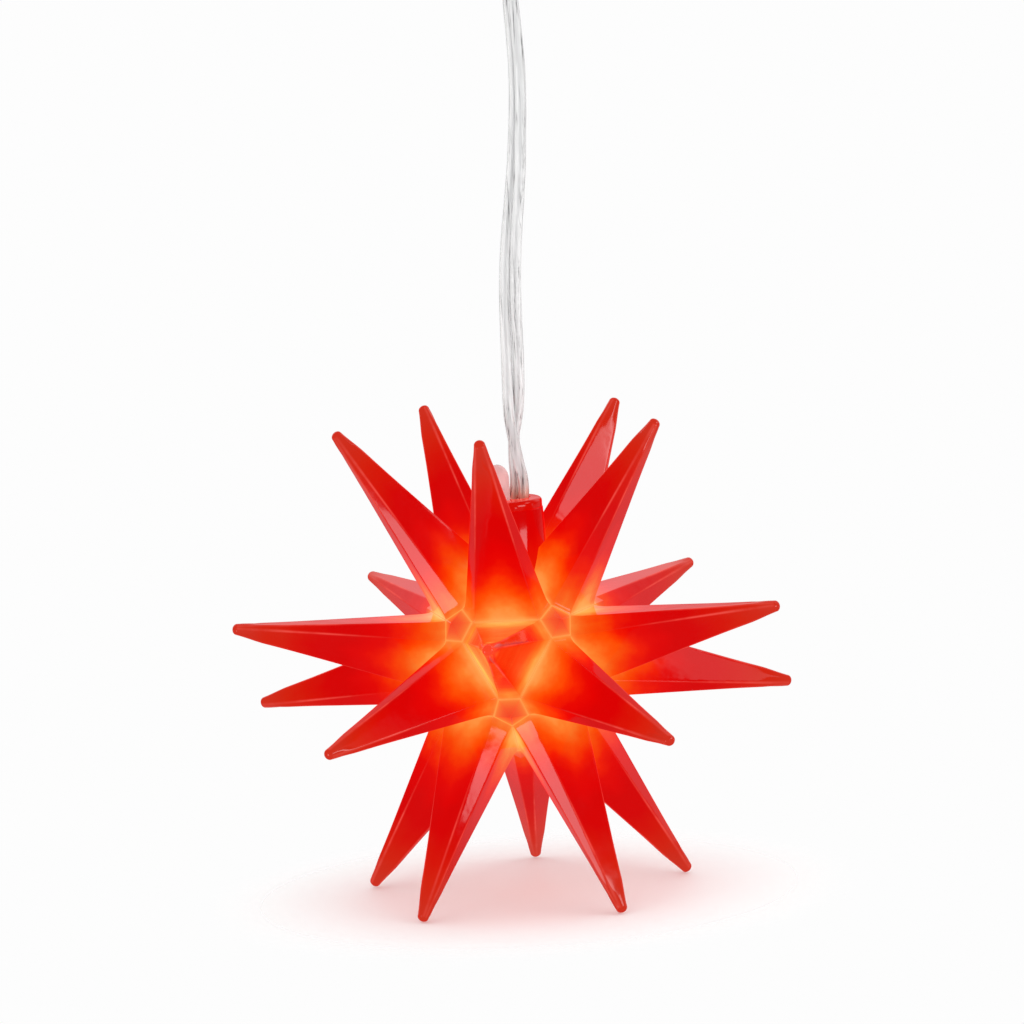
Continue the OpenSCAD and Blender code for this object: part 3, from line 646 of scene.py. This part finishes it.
# The core has twenty triangular faces, and its corners lie at the poles and in two rings. From
# a face's centre, faceIn and wideIn reach its long sides and narrowIn its short ones at the cups
ringTilt = math.acos(1 / math.sqrt(5))
coreEdge = core["radius"] / math.sin(math.radians(72))
faceIn = coreEdge / (2 * math.sqrt(3))
faceDistance = core["radius"] * math.sqrt((5 + 2 * math.sqrt(5)) / 15)
flangeScale = 1 - core["jointGap"] / 2 / faceIn
wideIn = faceIn * flangeScale
narrowIn = (2 * faceIn - core["cornerSide"] * math.cos(math.pi / 6)) * flangeScale
footCorner = math.hypot(narrowIn, core["cornerSide"] * flangeScale / 2)
cornerAngle = math.degrees(math.atan2(core["cornerSide"] * flangeScale / 2, narrowIn))
innerScale = 1 - core["wall"] / faceDistance
cavityScale = 1 - core["wall"] / faceIn
sideNormals = np.radians(60 * np.arange(6))
sideDistances = np.array([narrowIn, wideIn] * 3)


# A point at a radius, leaning from the upright axis, at a turn round it
def polar(radius, lean, turn):
    return radius * np.array([math.sin(lean) * math.cos(turn), math.sin(lean) * math.sin(turn),
                              math.cos(lean)])


# The five corners of the core's upper ring, and of its lower one
def upperCorner(i):
    return polar(core["radius"], ringTilt, math.radians(306 + 72 * i))


def lowerCorner(i):
    return polar(core["radius"], math.pi - ringTilt, math.radians(270 + 72 * i))


# The three core corners under a spike, and the centre of its round nose
def spikePlan(ringName, i):
    pole = np.array([0, 0, core["radius"]])
    s = spikes
    around = 72 * i + (270 if ringName in ("top", "upper") else 306)
    twist = {"top": s["topTwist"], "bottom": s["bottomTwist"]}.get(ringName, 0)
    lean = {"top": s["endLean"], "upper": s["sideLean"], "lower": 180 - s["sideLean"],
            "bottom": 180 - s["endLean"]}[ringName]
    reach = s["reach"] - s["noseRadius"] + (s["endExtra"] if twist else 0)
    corners = {"top": lambda: (pole, upperCorner(i - 1), upperCorner(i)),
               "upper": lambda: (upperCorner(i), upperCorner(i - 1), lowerCorner(i)),
               "lower": lambda: (lowerCorner(i), lowerCorner(i + 1), upperCorner(i)),
               "bottom": lambda: (lowerCorner(i + 1), lowerCorner(i), -pole)}[ringName]()
    return np.array(corners), polar(reach, math.radians(lean), math.radians(around + twist))


# Directions of a section's points: close together at its six corners, where the edge is round
def sectionTurns():
    near = [0, 0.3, 0.8, 1.6, 3.5, 7]
    narrow = near + [cornerAngle] + [2 * cornerAngle - a for a in near[:0:-1]]
    span = 120 - 2 * cornerAngle
    half = near + [13, 22, 34]
    wide = half + [span / 2] + [span - a for a in half[:0:-1]]
    one = np.array([a - cornerAngle for a in narrow] + [a + cornerAngle for a in wide])
    return np.radians((one[None, :] + 120 * np.arange(3)[:, None]).ravel())


# Distance of a section's outline in each direction: the power sum of the six sides' shares,
# cos(angle to the side) / distance of the side, to the power -1/p; a high p is a sharp corner
def outlineRadius(turn, power):
    share = np.cos(turn[None, :, None] - sideNormals) / sideDistances
    most = share.max(-1, keepdims=True)
    power = np.asarray(power, float).reshape(-1, 1, 1)
    total = (np.maximum(share / most, 0) ** power).sum(-1) ** (1 / power[..., 0])
    return 1 / (most[..., 0] * total)


# A corner of 120 degrees rounded by `edge` loses 0.1547 edge, and a power p takes 0.693 / p of
# the size off it; the power that makes them equal at a section of that size
def edgePower(size, edge):
    return 0.693 * size / (0.1547 * edge)


spikeTurns = sectionTurns()
sideHeights = np.array([0, 0.12, 0.3, 0.6, 1, 1.6, 2.4, 3.4, 4.6, 6, 8, 10.5, 13, 16, 19, 22, 25.5,
                        29, 32.5, 34, 35.5, 37, 38.5, 39.7])
noseTurns = np.radians([8, 17, 27, 38, 49, 60, 70, 80])


# One hollow spike, as rings from the bottom of its hollow, over the flange and up to the nose.
# A ring is centre + size * outline radius * direction, in a plane along the core's face. Its
# size falls evenly with the height h, plus inset * exp(-h / curve) for the hollow curve at the
# foot, which starts `seam` inside the flange's edge and draws in to footInset, plus
# fullness * exp(-((t - fullAt) / fullOver) ** 2) for the fuller end, t being the share of the
# height; the outline turns from six-sided to round just before the nose
def spikeShell(name, corners, nose):
    centre = corners.mean(0)
    out = centre / np.linalg.norm(centre)
    u = corners[0] - centre
    u /= np.linalg.norm(u)
    v = np.cross(out, u)
    direction = np.cos(spikeTurns)[:, None] * u + np.sin(spikeTurns)[:, None] * v
    way = (nose - centre) / np.linalg.norm(nose - centre)
    tipSize = spikes["noseRadius"] / faceIn

    depth = np.linspace(0.96, 0, 9)[:, None]
    mouth, deep = centre * innerScale, centre + (nose - centre) * cavityScale
    hollowSize = cavityScale * (1 - depth)
    hollowPower = edgePower(footCorner * np.maximum(hollowSize, 0.04), spikes["hollowEdge"])
    hollowRadius = hollowSize * outlineRadius(spikeTurns, hollowPower)
    hollow = (mouth + (deep - mouth) * depth)[:, None] + hollowRadius[..., None] * direction

    triangle = 1 / (np.cos(spikeTurns[:, None] - np.radians([60, 180, 300])).max(-1) / wideIn)
    flange = centre + triangle[:, None] * direction

    t = np.concatenate([sideHeights / spikes["sideHeight"], [1]])[:, None]
    inset = (spikes["footInset"] - core["seam"]) / wideIn
    footSize = 1 - spikes["footInset"] / wideIn
    fuller = np.exp(-((t - spikes["fullAt"]) / spikes["fullOver"]) ** 2)
    size = (footSize + (tipSize - footSize) * t
            + inset * np.exp(-spikes["sideHeight"] * t / spikes["footCurve"])
            + spikes["fullness"] / wideIn * fuller)
    edge = spikes["footEdge"] + (spikes["tipEdge"] - spikes["footEdge"]) * t
    power = edgePower(footCorner * size, edge)
    soft = np.clip((t - spikes["softFrom"]) / (1 - spikes["softFrom"]), 0, 1)
    soft = soft * soft * (3 - 2 * soft)
    circle = spikes["roundNose"] / tipSize
    outline = outlineRadius(spikeTurns, power) * (1 - soft) + circle * soft
    sides = (centre + (nose - centre) * t)[:, None] + (size * outline)[..., None] * direction

    a = noseTurns[:, None, None]
    tip = (nose + spikes["noseRadius"] * np.sin(a) * way
           + size[-1] * circle * np.cos(a) * direction)

    rings = np.concatenate([hollow, (flange * innerScale)[None], flange[None], sides, tip])
    piece = surface(name, rings + starCentre, deep + starCentre,
                    nose + way * spikes["noseRadius"] + starCentre, sharp=38)
    return piece, (centre, out, u, v, nose, way)


# Numbers at each point that the plastic's colour follows. ridge is the distance in mm to the
# nearest long ridge; rim is the height in mm over the foot, and on the flange minus the distance
# from the foot, or -12 inside the core; long is 1 at the long sides of the foot and 0 at the
# short ones; end rises from 0 at endLength before the nose to endLight at its end
def markSpike(piece, plan, endLight):
    centre, out, u, v, nose, way = plan
    mesh = piece.data
    points = np.zeros(len(mesh.vertices) * 3, np.float32)
    mesh.vertices.foreach_get("co", points)
    points = points.reshape(-1, 3).astype(float) / mm - starCentre
    a = np.radians([120 * n + side * cornerAngle for n in range(3) for side in (-1, 1)])
    spread = footCorner * (np.cos(a)[:, None] * u + np.sin(a)[:, None] * v)
    foot, top = centre + spread, nose + spread * spikes["noseRadius"] / faceIn
    along = (top - foot) / np.linalg.norm(top - foot, axis=1, keepdims=True)
    fromFoot = points[:, None] - foot
    height = np.clip((fromFoot * along).sum(-1), 0, np.linalg.norm(top - foot, axis=1))
    ridge = np.linalg.norm(fromFoot - height[..., None] * along, axis=-1).min(-1)
    above = (points - centre) @ out
    flat = points - centre - above[:, None] * out
    sideways = np.stack([flat @ u, flat @ v], -1)
    beyond = (sideways @ np.stack([np.cos(sideNormals), np.sin(sideNormals)])
              - sideDistances + core["seam"])
    outside = beyond.max(-1)
    rim = np.where(above < -0.02, -12, np.where(above < 0.02, -np.maximum(outside, 0), above))
    longSide = np.clip(0.5 + 0.5 * (beyond[:, 1::2].max(-1) - beyond[:, ::2].max(-1)), 0, 1)
    noseEnd = endLight * np.clip(1 + (points - nose) @ way / spikes["endLength"], 0, 1) ** 2
    for label, values in (("ridge", ridge), ("rim", rim), ("long", longSide), ("end", noseEnd)):
        mark = mesh.attributes.new(label, "FLOAT", "POINT")
        mark.data.foreach_set("value", values.astype(np.float32))


neck = {"rimRadius": 7.5, "footRadius": 8.15, "foot": 13.79, "rim": 31.0, "bore": 6.25,
        "grooveRadius": 6.8, "grooveFoot": 29.95, "gap": 0.05, "sealIn": 6.2, "sealOut": 6.7,
        "sealHeight": 1.0}


# The neck's outside, grown by its gap, as a closed cone that cuts the top spikes
def neckCutter():
    slope = (neck["rimRadius"] - neck["footRadius"]) / (neck["rim"] - neck["foot"])
    ends = np.array([neck["foot"] - 8, neck["rim"] + 8])
    radii = neck["rimRadius"] + neck["gap"] + slope * (ends - neck["rim"])
    profile = np.array([(0, ends[0]), (radii[0], ends[0]), (radii[1], ends[1]), (0, ends[1])])
    return turned("neck_cutter", profile, starCentre, 128, closed=False)


def cutBy(piece, cutter):
    cut = piece.modifiers.new("cut", "BOOLEAN")
    cut.operation, cut.solver, cut.object = "DIFFERENCE", "EXACT", cutter
    shown = piece.evaluated_get(bpy.context.evaluated_depsgraph_get())
    mesh = bpy.data.meshes.new_from_object(shown)
    piece.modifiers.clear()
    piece.data = mesh


# Red polystyrene, injection moulded and polished, lit from inside by a warm diode whose light is
# painted into the emission as a glow. The glow fades with the distance from the lamp, a little
# sooner near the ridges, where the light has more plastic to cross. The solid tips are painted
# paler, with light that leaves through their ends. Gloss is high, with soft waves from moulding.
# glow holds the colour of the painted glow at each distance in mm from the star's centre
glow = ((18, "#F89A4C"), (20, "#F48C3C"), (21, "#F07C2B"), (23, "#F06419"), (25, "#F04E05"),
        (27, "#EE3A00"), (29.5, "#E61B00"), (32.5, "#D80400"), (35.5, "#D20000"), (39, "#C90000"),
        (44, "#C80000"), (50, "#C81203"), (55, "#C6200A"), (60.5, "#BE2C1B"))
# seam is the painted yellow light that leaks out where the flanges meet, noseEnd the painted glow at the end of a nose
plastic = {"base": "#4E0202", "seam": "#FFC46C", "noseEnd": "#F04426", "glowFrom": 18.0,
           "glowTo": 62.0, "cloudSize": 6, "cloudShift": 1.3, "ridgeShift": 2.4, "waveSize": 5,
           "waveDepth": 0.05, "roughness": (0.05, 0.11)}


def litRed(name, shift=0.0, spiky=True):
    p = plastic
    material, tree, shader = newMaterial(name, {
        "IOR": 1.55, "Base Color": p["base"], "Emission Strength": 1.0})
    place = addNode(tree, "TexCoord", out="Object")
    centred = addNode(tree, "Mapping", {"Vector": place, "Location": tuple(-starCentre * mm)})
    away = addNode(tree, "VectorMath", {0: centred}, out="Value", operation="LENGTH")
    away = addNode(tree, "Math", {0: away, 1: 1 / mm, 2: shift}, operation="MULTIPLY_ADD")
    cloud = addNode(tree, "TexNoise", {
        "Vector": centred, "Scale": 1 / (p["cloudSize"] * mm), "Detail": 3.0, "Roughness": 0.6})
    drift = addNode(tree, "MapRange", {
        "Value": cloud, "From Min": 0.3, "From Max": 0.7, "To Min": -p["cloudShift"],
        "To Max": p["cloudShift"]})
    away = addNode(tree, "Math", {0: drift, 1: away}, operation="ADD")
    if spiky:
        marks = [addNode(tree, "Attribute", out="Fac", attribute_name=label)
                 for label in ("ridge", "rim", "long", "end")]
        dim = addNode(tree, "MapRange", {
            "Value": marks[0], "From Min": 0.8, "From Max": 5.0, "To Min": p["ridgeShift"],
            "To Max": 0.0}, interpolation_type="SMOOTHSTEP")
        away = addNode(tree, "Math", {0: away, 1: dim}, operation="ADD")
    span = p["glowTo"] - p["glowFrom"]
    colour = coloursAlong(tree, away, p["glowFrom"], p["glowTo"], [
        ((d - p["glowFrom"]) / span, shade) for d, shade in glow])
    if spiky:
        colour = spikeColour(tree, colour, away, cloud, *marks)
    put(tree, shader.inputs["Emission Color"], colour)
    wave = addNode(tree, "TexNoise", {
        "Vector": centred, "Scale": 1 / (p["waveSize"] * mm), "Detail": 2.0, "Roughness": 0.45})
    bumpAndGloss(tree, shader, wave, p["waveDepth"], p["roughness"])
    return material


# What a spike's own marks change in the painted glow: the bottom of the cup between five spikes
# is painted redder; painted yellow light leaks out where the flanges meet and fades up the foot,
# less so round the cups; the ridges get painted highlights in their round edges; and the nose
# lets some painted light out at its end
def spikeColour(tree, colour, away, cloud, ridge, rim, longSide, noseEnd):
    # A redder painted glow at the bottom of the cup
    cup = coloursAlong(tree, rim, -4.0, 0.0, [
        (0.0, "#E64424"), (0.45, "#EE5A2C"), (0.85, "#F27A34"), (1.0, "#F48C3C")])
    inCup = addNode(tree, "MapRange", {"Value": rim, "From Min": -0.1, "From Max": -0.2})
    # Painted yellow light leaking out at the seam between the flanges
    seam = coloursAlong(tree, rim, -1.0, 2.0, [
        (0.0, "#000000"), (0.12, "#808080"), (0.2, "#FFFFFF"), (0.27, "#D8D8D8"),
        (0.34, "#A4A4A4"), (0.44, "#747474"), (0.6, "#3E3E3E"), (1.0, "#000000")])
    along = addNode(tree, "MapRange", {
        "Value": longSide, "From Min": 0.2, "From Max": 1.0, "To Min": 0.34})
    # Painted highlights along the round edges of the ridges
    edge = coloursAlong(tree, ridge, 0.0, 1.2, [
        (0.0, "#FF8A7E"), (0.2, "#FF6A5E"), (0.38, "#DC362C"), (1.0, "#C80A04")])
    atEdge = addNode(tree, "MapRange", {
        "Value": ridge, "From Min": 0.2, "From Max": 0.55, "To Min": 1.0, "To Max": 0.0})
    far = coloursAlong(tree, away, plastic["glowFrom"], plastic["glowTo"], [
        (0.16, "#000000"), (0.36, "#FFFFFF"), (0.6, "#E8E8E8"), (0.85, "#7C7C7C")])
    factors = []
    for strength, share, least in ((seam, along, 0.7), (atEdge, far, 0.35)):
        patchy = addNode(tree, "MapRange", {
            "Value": cloud, "From Min": 0.38, "From Max": 0.62, "To Min": least})
        share = addNode(tree, "Math", {0: share, 1: patchy}, operation="MULTIPLY")
        factors.append(addNode(tree, "Math", {0: strength, 1: share}, operation="MULTIPLY"))
    for factor, added in ((inCup, cup), (factors[0], plastic["seam"]), (factors[1], edge),
                          (noseEnd, plastic["noseEnd"])):
        colour = addNode(tree, "Mix", {"Factor": factor, 6: colour, 7: added}, out=2,
                         data_type="RGBA")
    return colour


starRed = litRed("polishedRedPolystyrene")
# The neck takes the same painted glow of the lamp, as if 11 mm further from it
neckRed = litRed("redPolystyreneOfNeck", shift=11.0, spiky=False)

cutter = neckCutter()
for ringName in ("top", "upper", "lower", "bottom"):
    for i in range(5):
        node = f"spike_{ringName}_{i + 1}"
        piece, plan = spikeShell(node + "_shell", *spikePlan(ringName, i))
        if ringName == "top":
            cutBy(piece, cutter)
        markSpike(piece, plan, 1.0 if node == spikes["clearEnd"] else spikes["endLight"])
        fit(piece, starRed, "star", "star_plastic", node)
bpy.data.objects.remove(cutter)
print("twenty spikes stand")

neckProfile = rounded([
    (neck["footRadius"], neck["foot"]), (neck["rimRadius"], neck["rim"]),
    (neck["grooveRadius"], neck["rim"]), (neck["grooveRadius"], neck["grooveFoot"]),
    (neck["bore"], neck["grooveFoot"]), (neck["bore"], neck["foot"])], 0.22)
fit(turned("neck_tube_shell", neckProfile, starCentre, 128), neckRed, "star", "neck_plastic",
    "neck_tube")

# Cap: the same red plastic, with less of the lamp's painted light in it
capRed = litRed("redPolystyreneOfCap", shift=14.0, spiky=False)
fit(refined("socket_cap_shell", "socket_cap", 0.12), capRed, "suspension", "cap_plastic",
    "socket_cap")

fit(boxRing("neck_seal_ring", neck["sealIn"], neck["sealOut"], neck["rim"] - neck["sealHeight"],
            neck["rim"], 0.2, starCentre), greySilicone, "suspension", "seal_rubber", "seal_ring")
print("neck and cap stand")


# Lamp: clear holder with its tab, frosted dome, diode, legs, resistor and sleeves

lamp = {"domeRadius": 5.6, "domeWall": 0.8, "domeFoot": -3.0, "domeTop": 9.0, "collar": 4.25,
        "collarFoot": 7.0, "diodeRadius": 2.5, "diodeRim": 2.9, "diodeSeat": 4.6, "diodeBase": 5.6,
        "diodeRound": 0.6, "legX": 1.27, "legRadius": 0.28, "legTop": 21.0, "shortLegTop": 9.1,
        "resistorFoot": 10.6, "resistorTop": 15.6, "resistorRadius": 0.9, "sleeveX": 1.7,
        "sleeveFoot": 18.0, "sleeveTop": 23.0, "sleeveIn": 1.2, "sleeveOut": 1.45}

# Clear polystyrene, injection moulded: glassy, with the star's pink light painted into its colour
# and a faint emission, which shows in its edges
clearPs = evenMaterial("clearMouldedPolystyrene", {
    "IOR": 1.59, "Transmission Weight": 0.4, "Base Color": "#E8C0BE", "Emission Color": "#F5B8B4",
    "Emission Strength": 0.08}, 2.2, 0.01, (0.05, 0.14))

# Opal acrylic of the dome, frosted by its mould, lit by the diode
opal = evenMaterial("frostedOpalAcrylic", {
    "IOR": 1.49, "Base Color": "#C4B598", "Emission Color": "#FFD79A",
    "Emission Strength": 0.45}, 0.6, 0.01, (0.45, 0.6))

# Clear epoxy of the diode, cast: glassy, lit through by its chip
epoxy = evenMaterial("castClearEpoxy", {
    "IOR": 1.54, "Transmission Weight": 0.85, "Base Color": "#FFF6E0", "Emission Color": "#FFE2A8",
    "Emission Strength": 0.7}, 1.5, 0.004, (0.03, 0.1))

# Black shrink tube: satin, a little wrinkled
shrinkTube = evenMaterial("blackShrinkTube", {"IOR": 1.5, "Base Color": "#1E1E20"},
                          0.9, 0.03, (0.4, 0.6), (1, 1, 0.5))

# Resistor: dipped beige lacquer with four painted rings
beigeLacquer, tree, shader = newMaterial("dippedBeigeLacquer", {"IOR": 1.5})
skin(tree, shader, 0.6, 0.01, (0.22, 0.34))
place = addNode(tree, "TexCoord", out="Object")
height = addNode(tree, "SeparateXYZ", {0: place}, out="Z")
foot, top = ((starCentre[2] + lamp[end]) * mm for end in ("resistorFoot", "resistorTop"))
bands = coloursAlong(tree, height, foot, top, [
    (0.0, "#D9C08E"), (0.16, "#8A4A22"), (0.26, "#D9C08E"), (0.36, "#1A1A1A"), (0.45, "#D9C08E"),
    (0.54, "#8A4A22"), (0.63, "#D9C08E"), (0.76, "#C9A227"), (0.86, "#D9C08E")])
bands.node.color_ramp.interpolation = "CONSTANT"
put(tree, shader.inputs["Base Color"], bands)

fit(refined("lamp_holder_shell", "lamp_holder", 0.1), clearPs, "suspension", "holder_plastic",
    "lamp_holder")


# The dome's profile: round end outside, wall, rim with its collar, and the same way back inside
def frostedDome():
    outer, foot, top = lamp["domeRadius"], lamp["domeFoot"], lamp["domeTop"]
    inner = outer - lamp["domeWall"]
    wall = [(outer, foot + 1), (outer, top), (lamp["collar"], top),
            (lamp["collar"], lamp["collarFoot"]), (inner, lamp["collarFoot"]), (inner, foot + 1)]
    profile = np.vstack([
        [(0, foot - outer)], arc(outer, foot, -88, 0), rounded(wall, 0.2, closed=False),
        arc(inner, foot, 0, -88), [(0, foot - outer + lamp["domeWall"])]])
    return turned("lamp_frosted_dome", profile, starCentre, closed=False)


# The diode's profile: round end, straight body and the wider rim at its base
def diodeLens():
    body, rim, middle = lamp["diodeRadius"], lamp["diodeRim"], lamp["diodeRound"]
    seat, base = lamp["diodeSeat"], lamp["diodeBase"]
    side = [(body, middle + 1), (body, seat), (rim, seat), (rim, base), (0, base)]
    profile = np.vstack([[(0, middle - body)], arc(body, middle, -88, 0),
                         rounded(side, 0.12, closed=False)])
    return turned("lamp_diode", profile, starCentre, 64, closed=False)


fit(frostedDome(), opal, "suspension", "dome_plastic", "diffuser_dome")
fit(diodeLens(), epoxy, "suspension", "led_epoxy", "led_lens")


# A round bar from one height to another, with its ends a little rounded
def bar(radius, low, high, x):
    profile = rounded([(0, low), (radius, low), (radius, high), (0, high)], 0.25 * radius,
                      closed=False)
    return turned("bar", profile, starCentre + (x, 0, 0), 24, closed=False)


fit(joined("lamp_diode_legs", [
    bar(lamp["legRadius"], lamp["diodeBase"], lamp["legTop"], -lamp["legX"]),
    bar(lamp["legRadius"], lamp["diodeBase"], lamp["shortLegTop"], lamp["legX"])]),
    tinnedWire, "suspension", "leg_tin", "led_legs")


# The resistor's profile: 0.86 of its radius, and up to 1 over the two end caps by
# exp(-(distance from a cap / 0.1) ** 2), with t as the share of the length; its ends are round
def resistorBody():
    low, high = lamp["resistorFoot"], lamp["resistorTop"]
    t = np.linspace(0, 1, 40)
    caps = np.maximum(np.exp(-((t - 0.14) / 0.1) ** 2), np.exp(-((t - 0.86) / 0.1) ** 2))
    swell = lamp["resistorRadius"] * (0.86 + 0.14 * caps)
    swell *= np.sqrt(1 - np.clip(np.abs(2 * t - 1) * 1.06 - 0.06, 0, 1) ** 14) * 0.97 + 0.03
    profile = np.vstack([[(0, low)], np.stack([swell, low + t * (high - low)], -1), [(0, high)]])
    return turned("resistorBody", profile, starCentre + (lamp["legX"], 0, 0), 40, closed=False)


fit(joined("lamp_series_resistor", [
    resistorBody(), bar(lamp["legRadius"], lamp["shortLegTop"], lamp["legTop"], lamp["legX"])]),
    beigeLacquer, "suspension", "resistor_coat", "series_resistor")
fit(joined("lamp_shrink_sleeves", [
    boxRing("sleeve", lamp["sleeveIn"], lamp["sleeveOut"], lamp["sleeveFoot"], lamp["sleeveTop"],
            0.1, starCentre + (side * lamp["sleeveX"], 0, 0), 40) for side in (-1, 1)]),
    shrinkTube, "suspension", "sleeve_plastic", "shrink_sleeves")
print("lamp stands")


# Studio: a pale floor that fades into the white, and a dark room with soft boxes for the gloss

studio = {"floor": -221.85, "floorSize": 900.0, "fadeFrom": 30, "fadeTo": 70, "toneReach": 100,
          "white": "#FDFDFD", "floorColour": "#ECECEC", "skyLight": 1.34, "roomInGloss": 0.02}

# Pale matt paper that turns clear towards its rim. What is glossy sees it as a dull grey
half, level = studio["floorSize"] / 2, studio["floor"]
floor = solid("studio_floor", np.array([
    (-half, -half, level), (half, -half, level), (half, half, level), (-half, half, level)]),
    [(0, 1, 2, 3)])
paper, tree, shader = newMaterial("paleStudioPaper", {
    "Base Color": studio["floorColour"], "Roughness": 0.6, "Specular IOR Level": 0.3})
output = next(n for n in tree.nodes if n.type == "OUTPUT_MATERIAL")
place = addNode(tree, "TexCoord", out="Object")
flat = addNode(tree, "VectorMath", {0: place, 1: (1, 1, 0)}, operation="MULTIPLY")
away = addNode(tree, "VectorMath", {0: flat}, out="Value", operation="LENGTH")
fade = addNode(tree, "MapRange", {
    "Value": away, "From Min": studio["fadeFrom"] * mm, "From Max": studio["fadeTo"] * mm},
    interpolation_type="SMOOTHSTEP")
clear = addNode(tree, "BsdfTransparent")
shown = addNode(tree, "MixShader", {0: fade, 1: shader.outputs[0], 2: clear})
reach = studio["toneReach"] * mm
tone = coloursAlong(tree, addNode(tree, "SeparateXYZ", {0: place}, out="Y"), -reach, reach, [
    (0.05, "#5E5E5E"), (0.3, "#3F3F3F"), (0.5, "#464646"), (0.65, "#6F6F6F")])
dull = addNode(tree, "Emission", {"Color": tone, "Strength": 1.0})
glossy = addNode(tree, "LightPath", out="Is Glossy Ray")
put(tree, output.inputs["Surface"], addNode(tree, "MixShader", {0: glossy, 1: shown, 2: dull}))
floor.data.materials.append(paper)
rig.stage(floor)

# The camera, and light that passes through clear plastic, sees plain white. An even sky lights
# the object. Its gloss sees a dark room that is paler behind
world = bpy.data.worlds.new("studio")
bpy.context.scene.world = world
world.use_nodes = True
tree = world.node_tree
tree.nodes.clear()
direction = addNode(tree, "TexCoord", out="Generated")
depth, rise = (addNode(tree, "SeparateXYZ", {0: direction}, out=axis) for axis in ("Y", "Z"))
behind = addNode(tree, "MapRange", {"Value": depth, "From Min": 0.3, "From Max": 0.7},
                 interpolation_type="SMOOTHSTEP")
backdrop = coloursAlong(tree, rise, -1.0, 1.0, [
    (0.0, "#6C6C6C"), (0.44, "#6C6C6C"), (0.495, "#3C3C3C"), (0.53, "#484848"), (0.58, "#B0B0B0"),
    (0.64, "#B8B8B8"), (0.74, "#C8C8C8"), (0.82, "#7C7C7C")])
behind = addNode(tree, "Math", {0: behind, 1: backdrop}, operation="MULTIPLY")
behind = addNode(tree, "Math", {0: behind, 1: studio["roomInGloss"]}, operation="ADD")
room, sky, seen = (addNode(tree, "Background", {"Color": colour, "Strength": strength})
                   for colour, strength in (("#FFFFFF", behind), ("#FFFFFF", studio["skyLight"]),
                                            (studio["white"], 1.0)))
cameraRay, through, glossy = (addNode(tree, "LightPath", out=f"Is {kind} Ray")
                              for kind in ("Camera", "Transmission", "Glossy"))
through = addNode(tree, "Math", {0: cameraRay, 1: through}, operation="MAXIMUM")
both = addNode(tree, "MixShader", {0: glossy, 1: sky, 2: room})
both = addNode(tree, "MixShader", {0: through, 1: both, 2: seen})
addNode(tree, "OutputWorld", {"Surface": both})


# A soft box of a brightness, at a place from the star's centre and aimed at it. A flat lamp of
# area A that shines P watts has the brightness P / (pi A)
def softBox(name, place, size, brightness):
    data = bpy.data.lights.new(name, "AREA")
    data.shape, data.size, data.size_y = "RECTANGLE", size[0] * mm, size[1] * mm
    data.energy = brightness * math.pi * size[0] * size[1] * mm * mm
    light = linked(name, data)
    light.visible_camera = False
    aim = -Vector(place)
    light.matrix_world = (Matrix.Translation(Vector(starCentre + place) * mm)
                          @ aim.to_track_quat("-Z", "Y").to_matrix().to_4x4())


# Each card stands where the faces that shine in the photo mirror it
softBox("cardLeft", (-84, -102, -28), (26, 41), 2.7)
softBox("cardNeck", (103, -74, 20), (58, 22), 3.0)
softBox("cardRightHigh", (126.6, -19, 107), (26, 32), 2.0)
softBox("cardRightLow", (141, -29, 82), (16, 28), 0.64)
softBox("cardNear", (72.4, -11.6, 70.8), (24, 13), 1.8)
softBox("cardFront", (80, -115, -7), (12, 15), 2.6)
softBox("farRight", (429, 36, -19), (70, 60), 0.65)
print("studio stands")

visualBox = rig.bounds()
with open("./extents.json", "w") as sizeFile:
    json.dump({"cad": [list(k) for k in cadBox], "visual": [list(k) for k in visualBox]}, sizeFile)
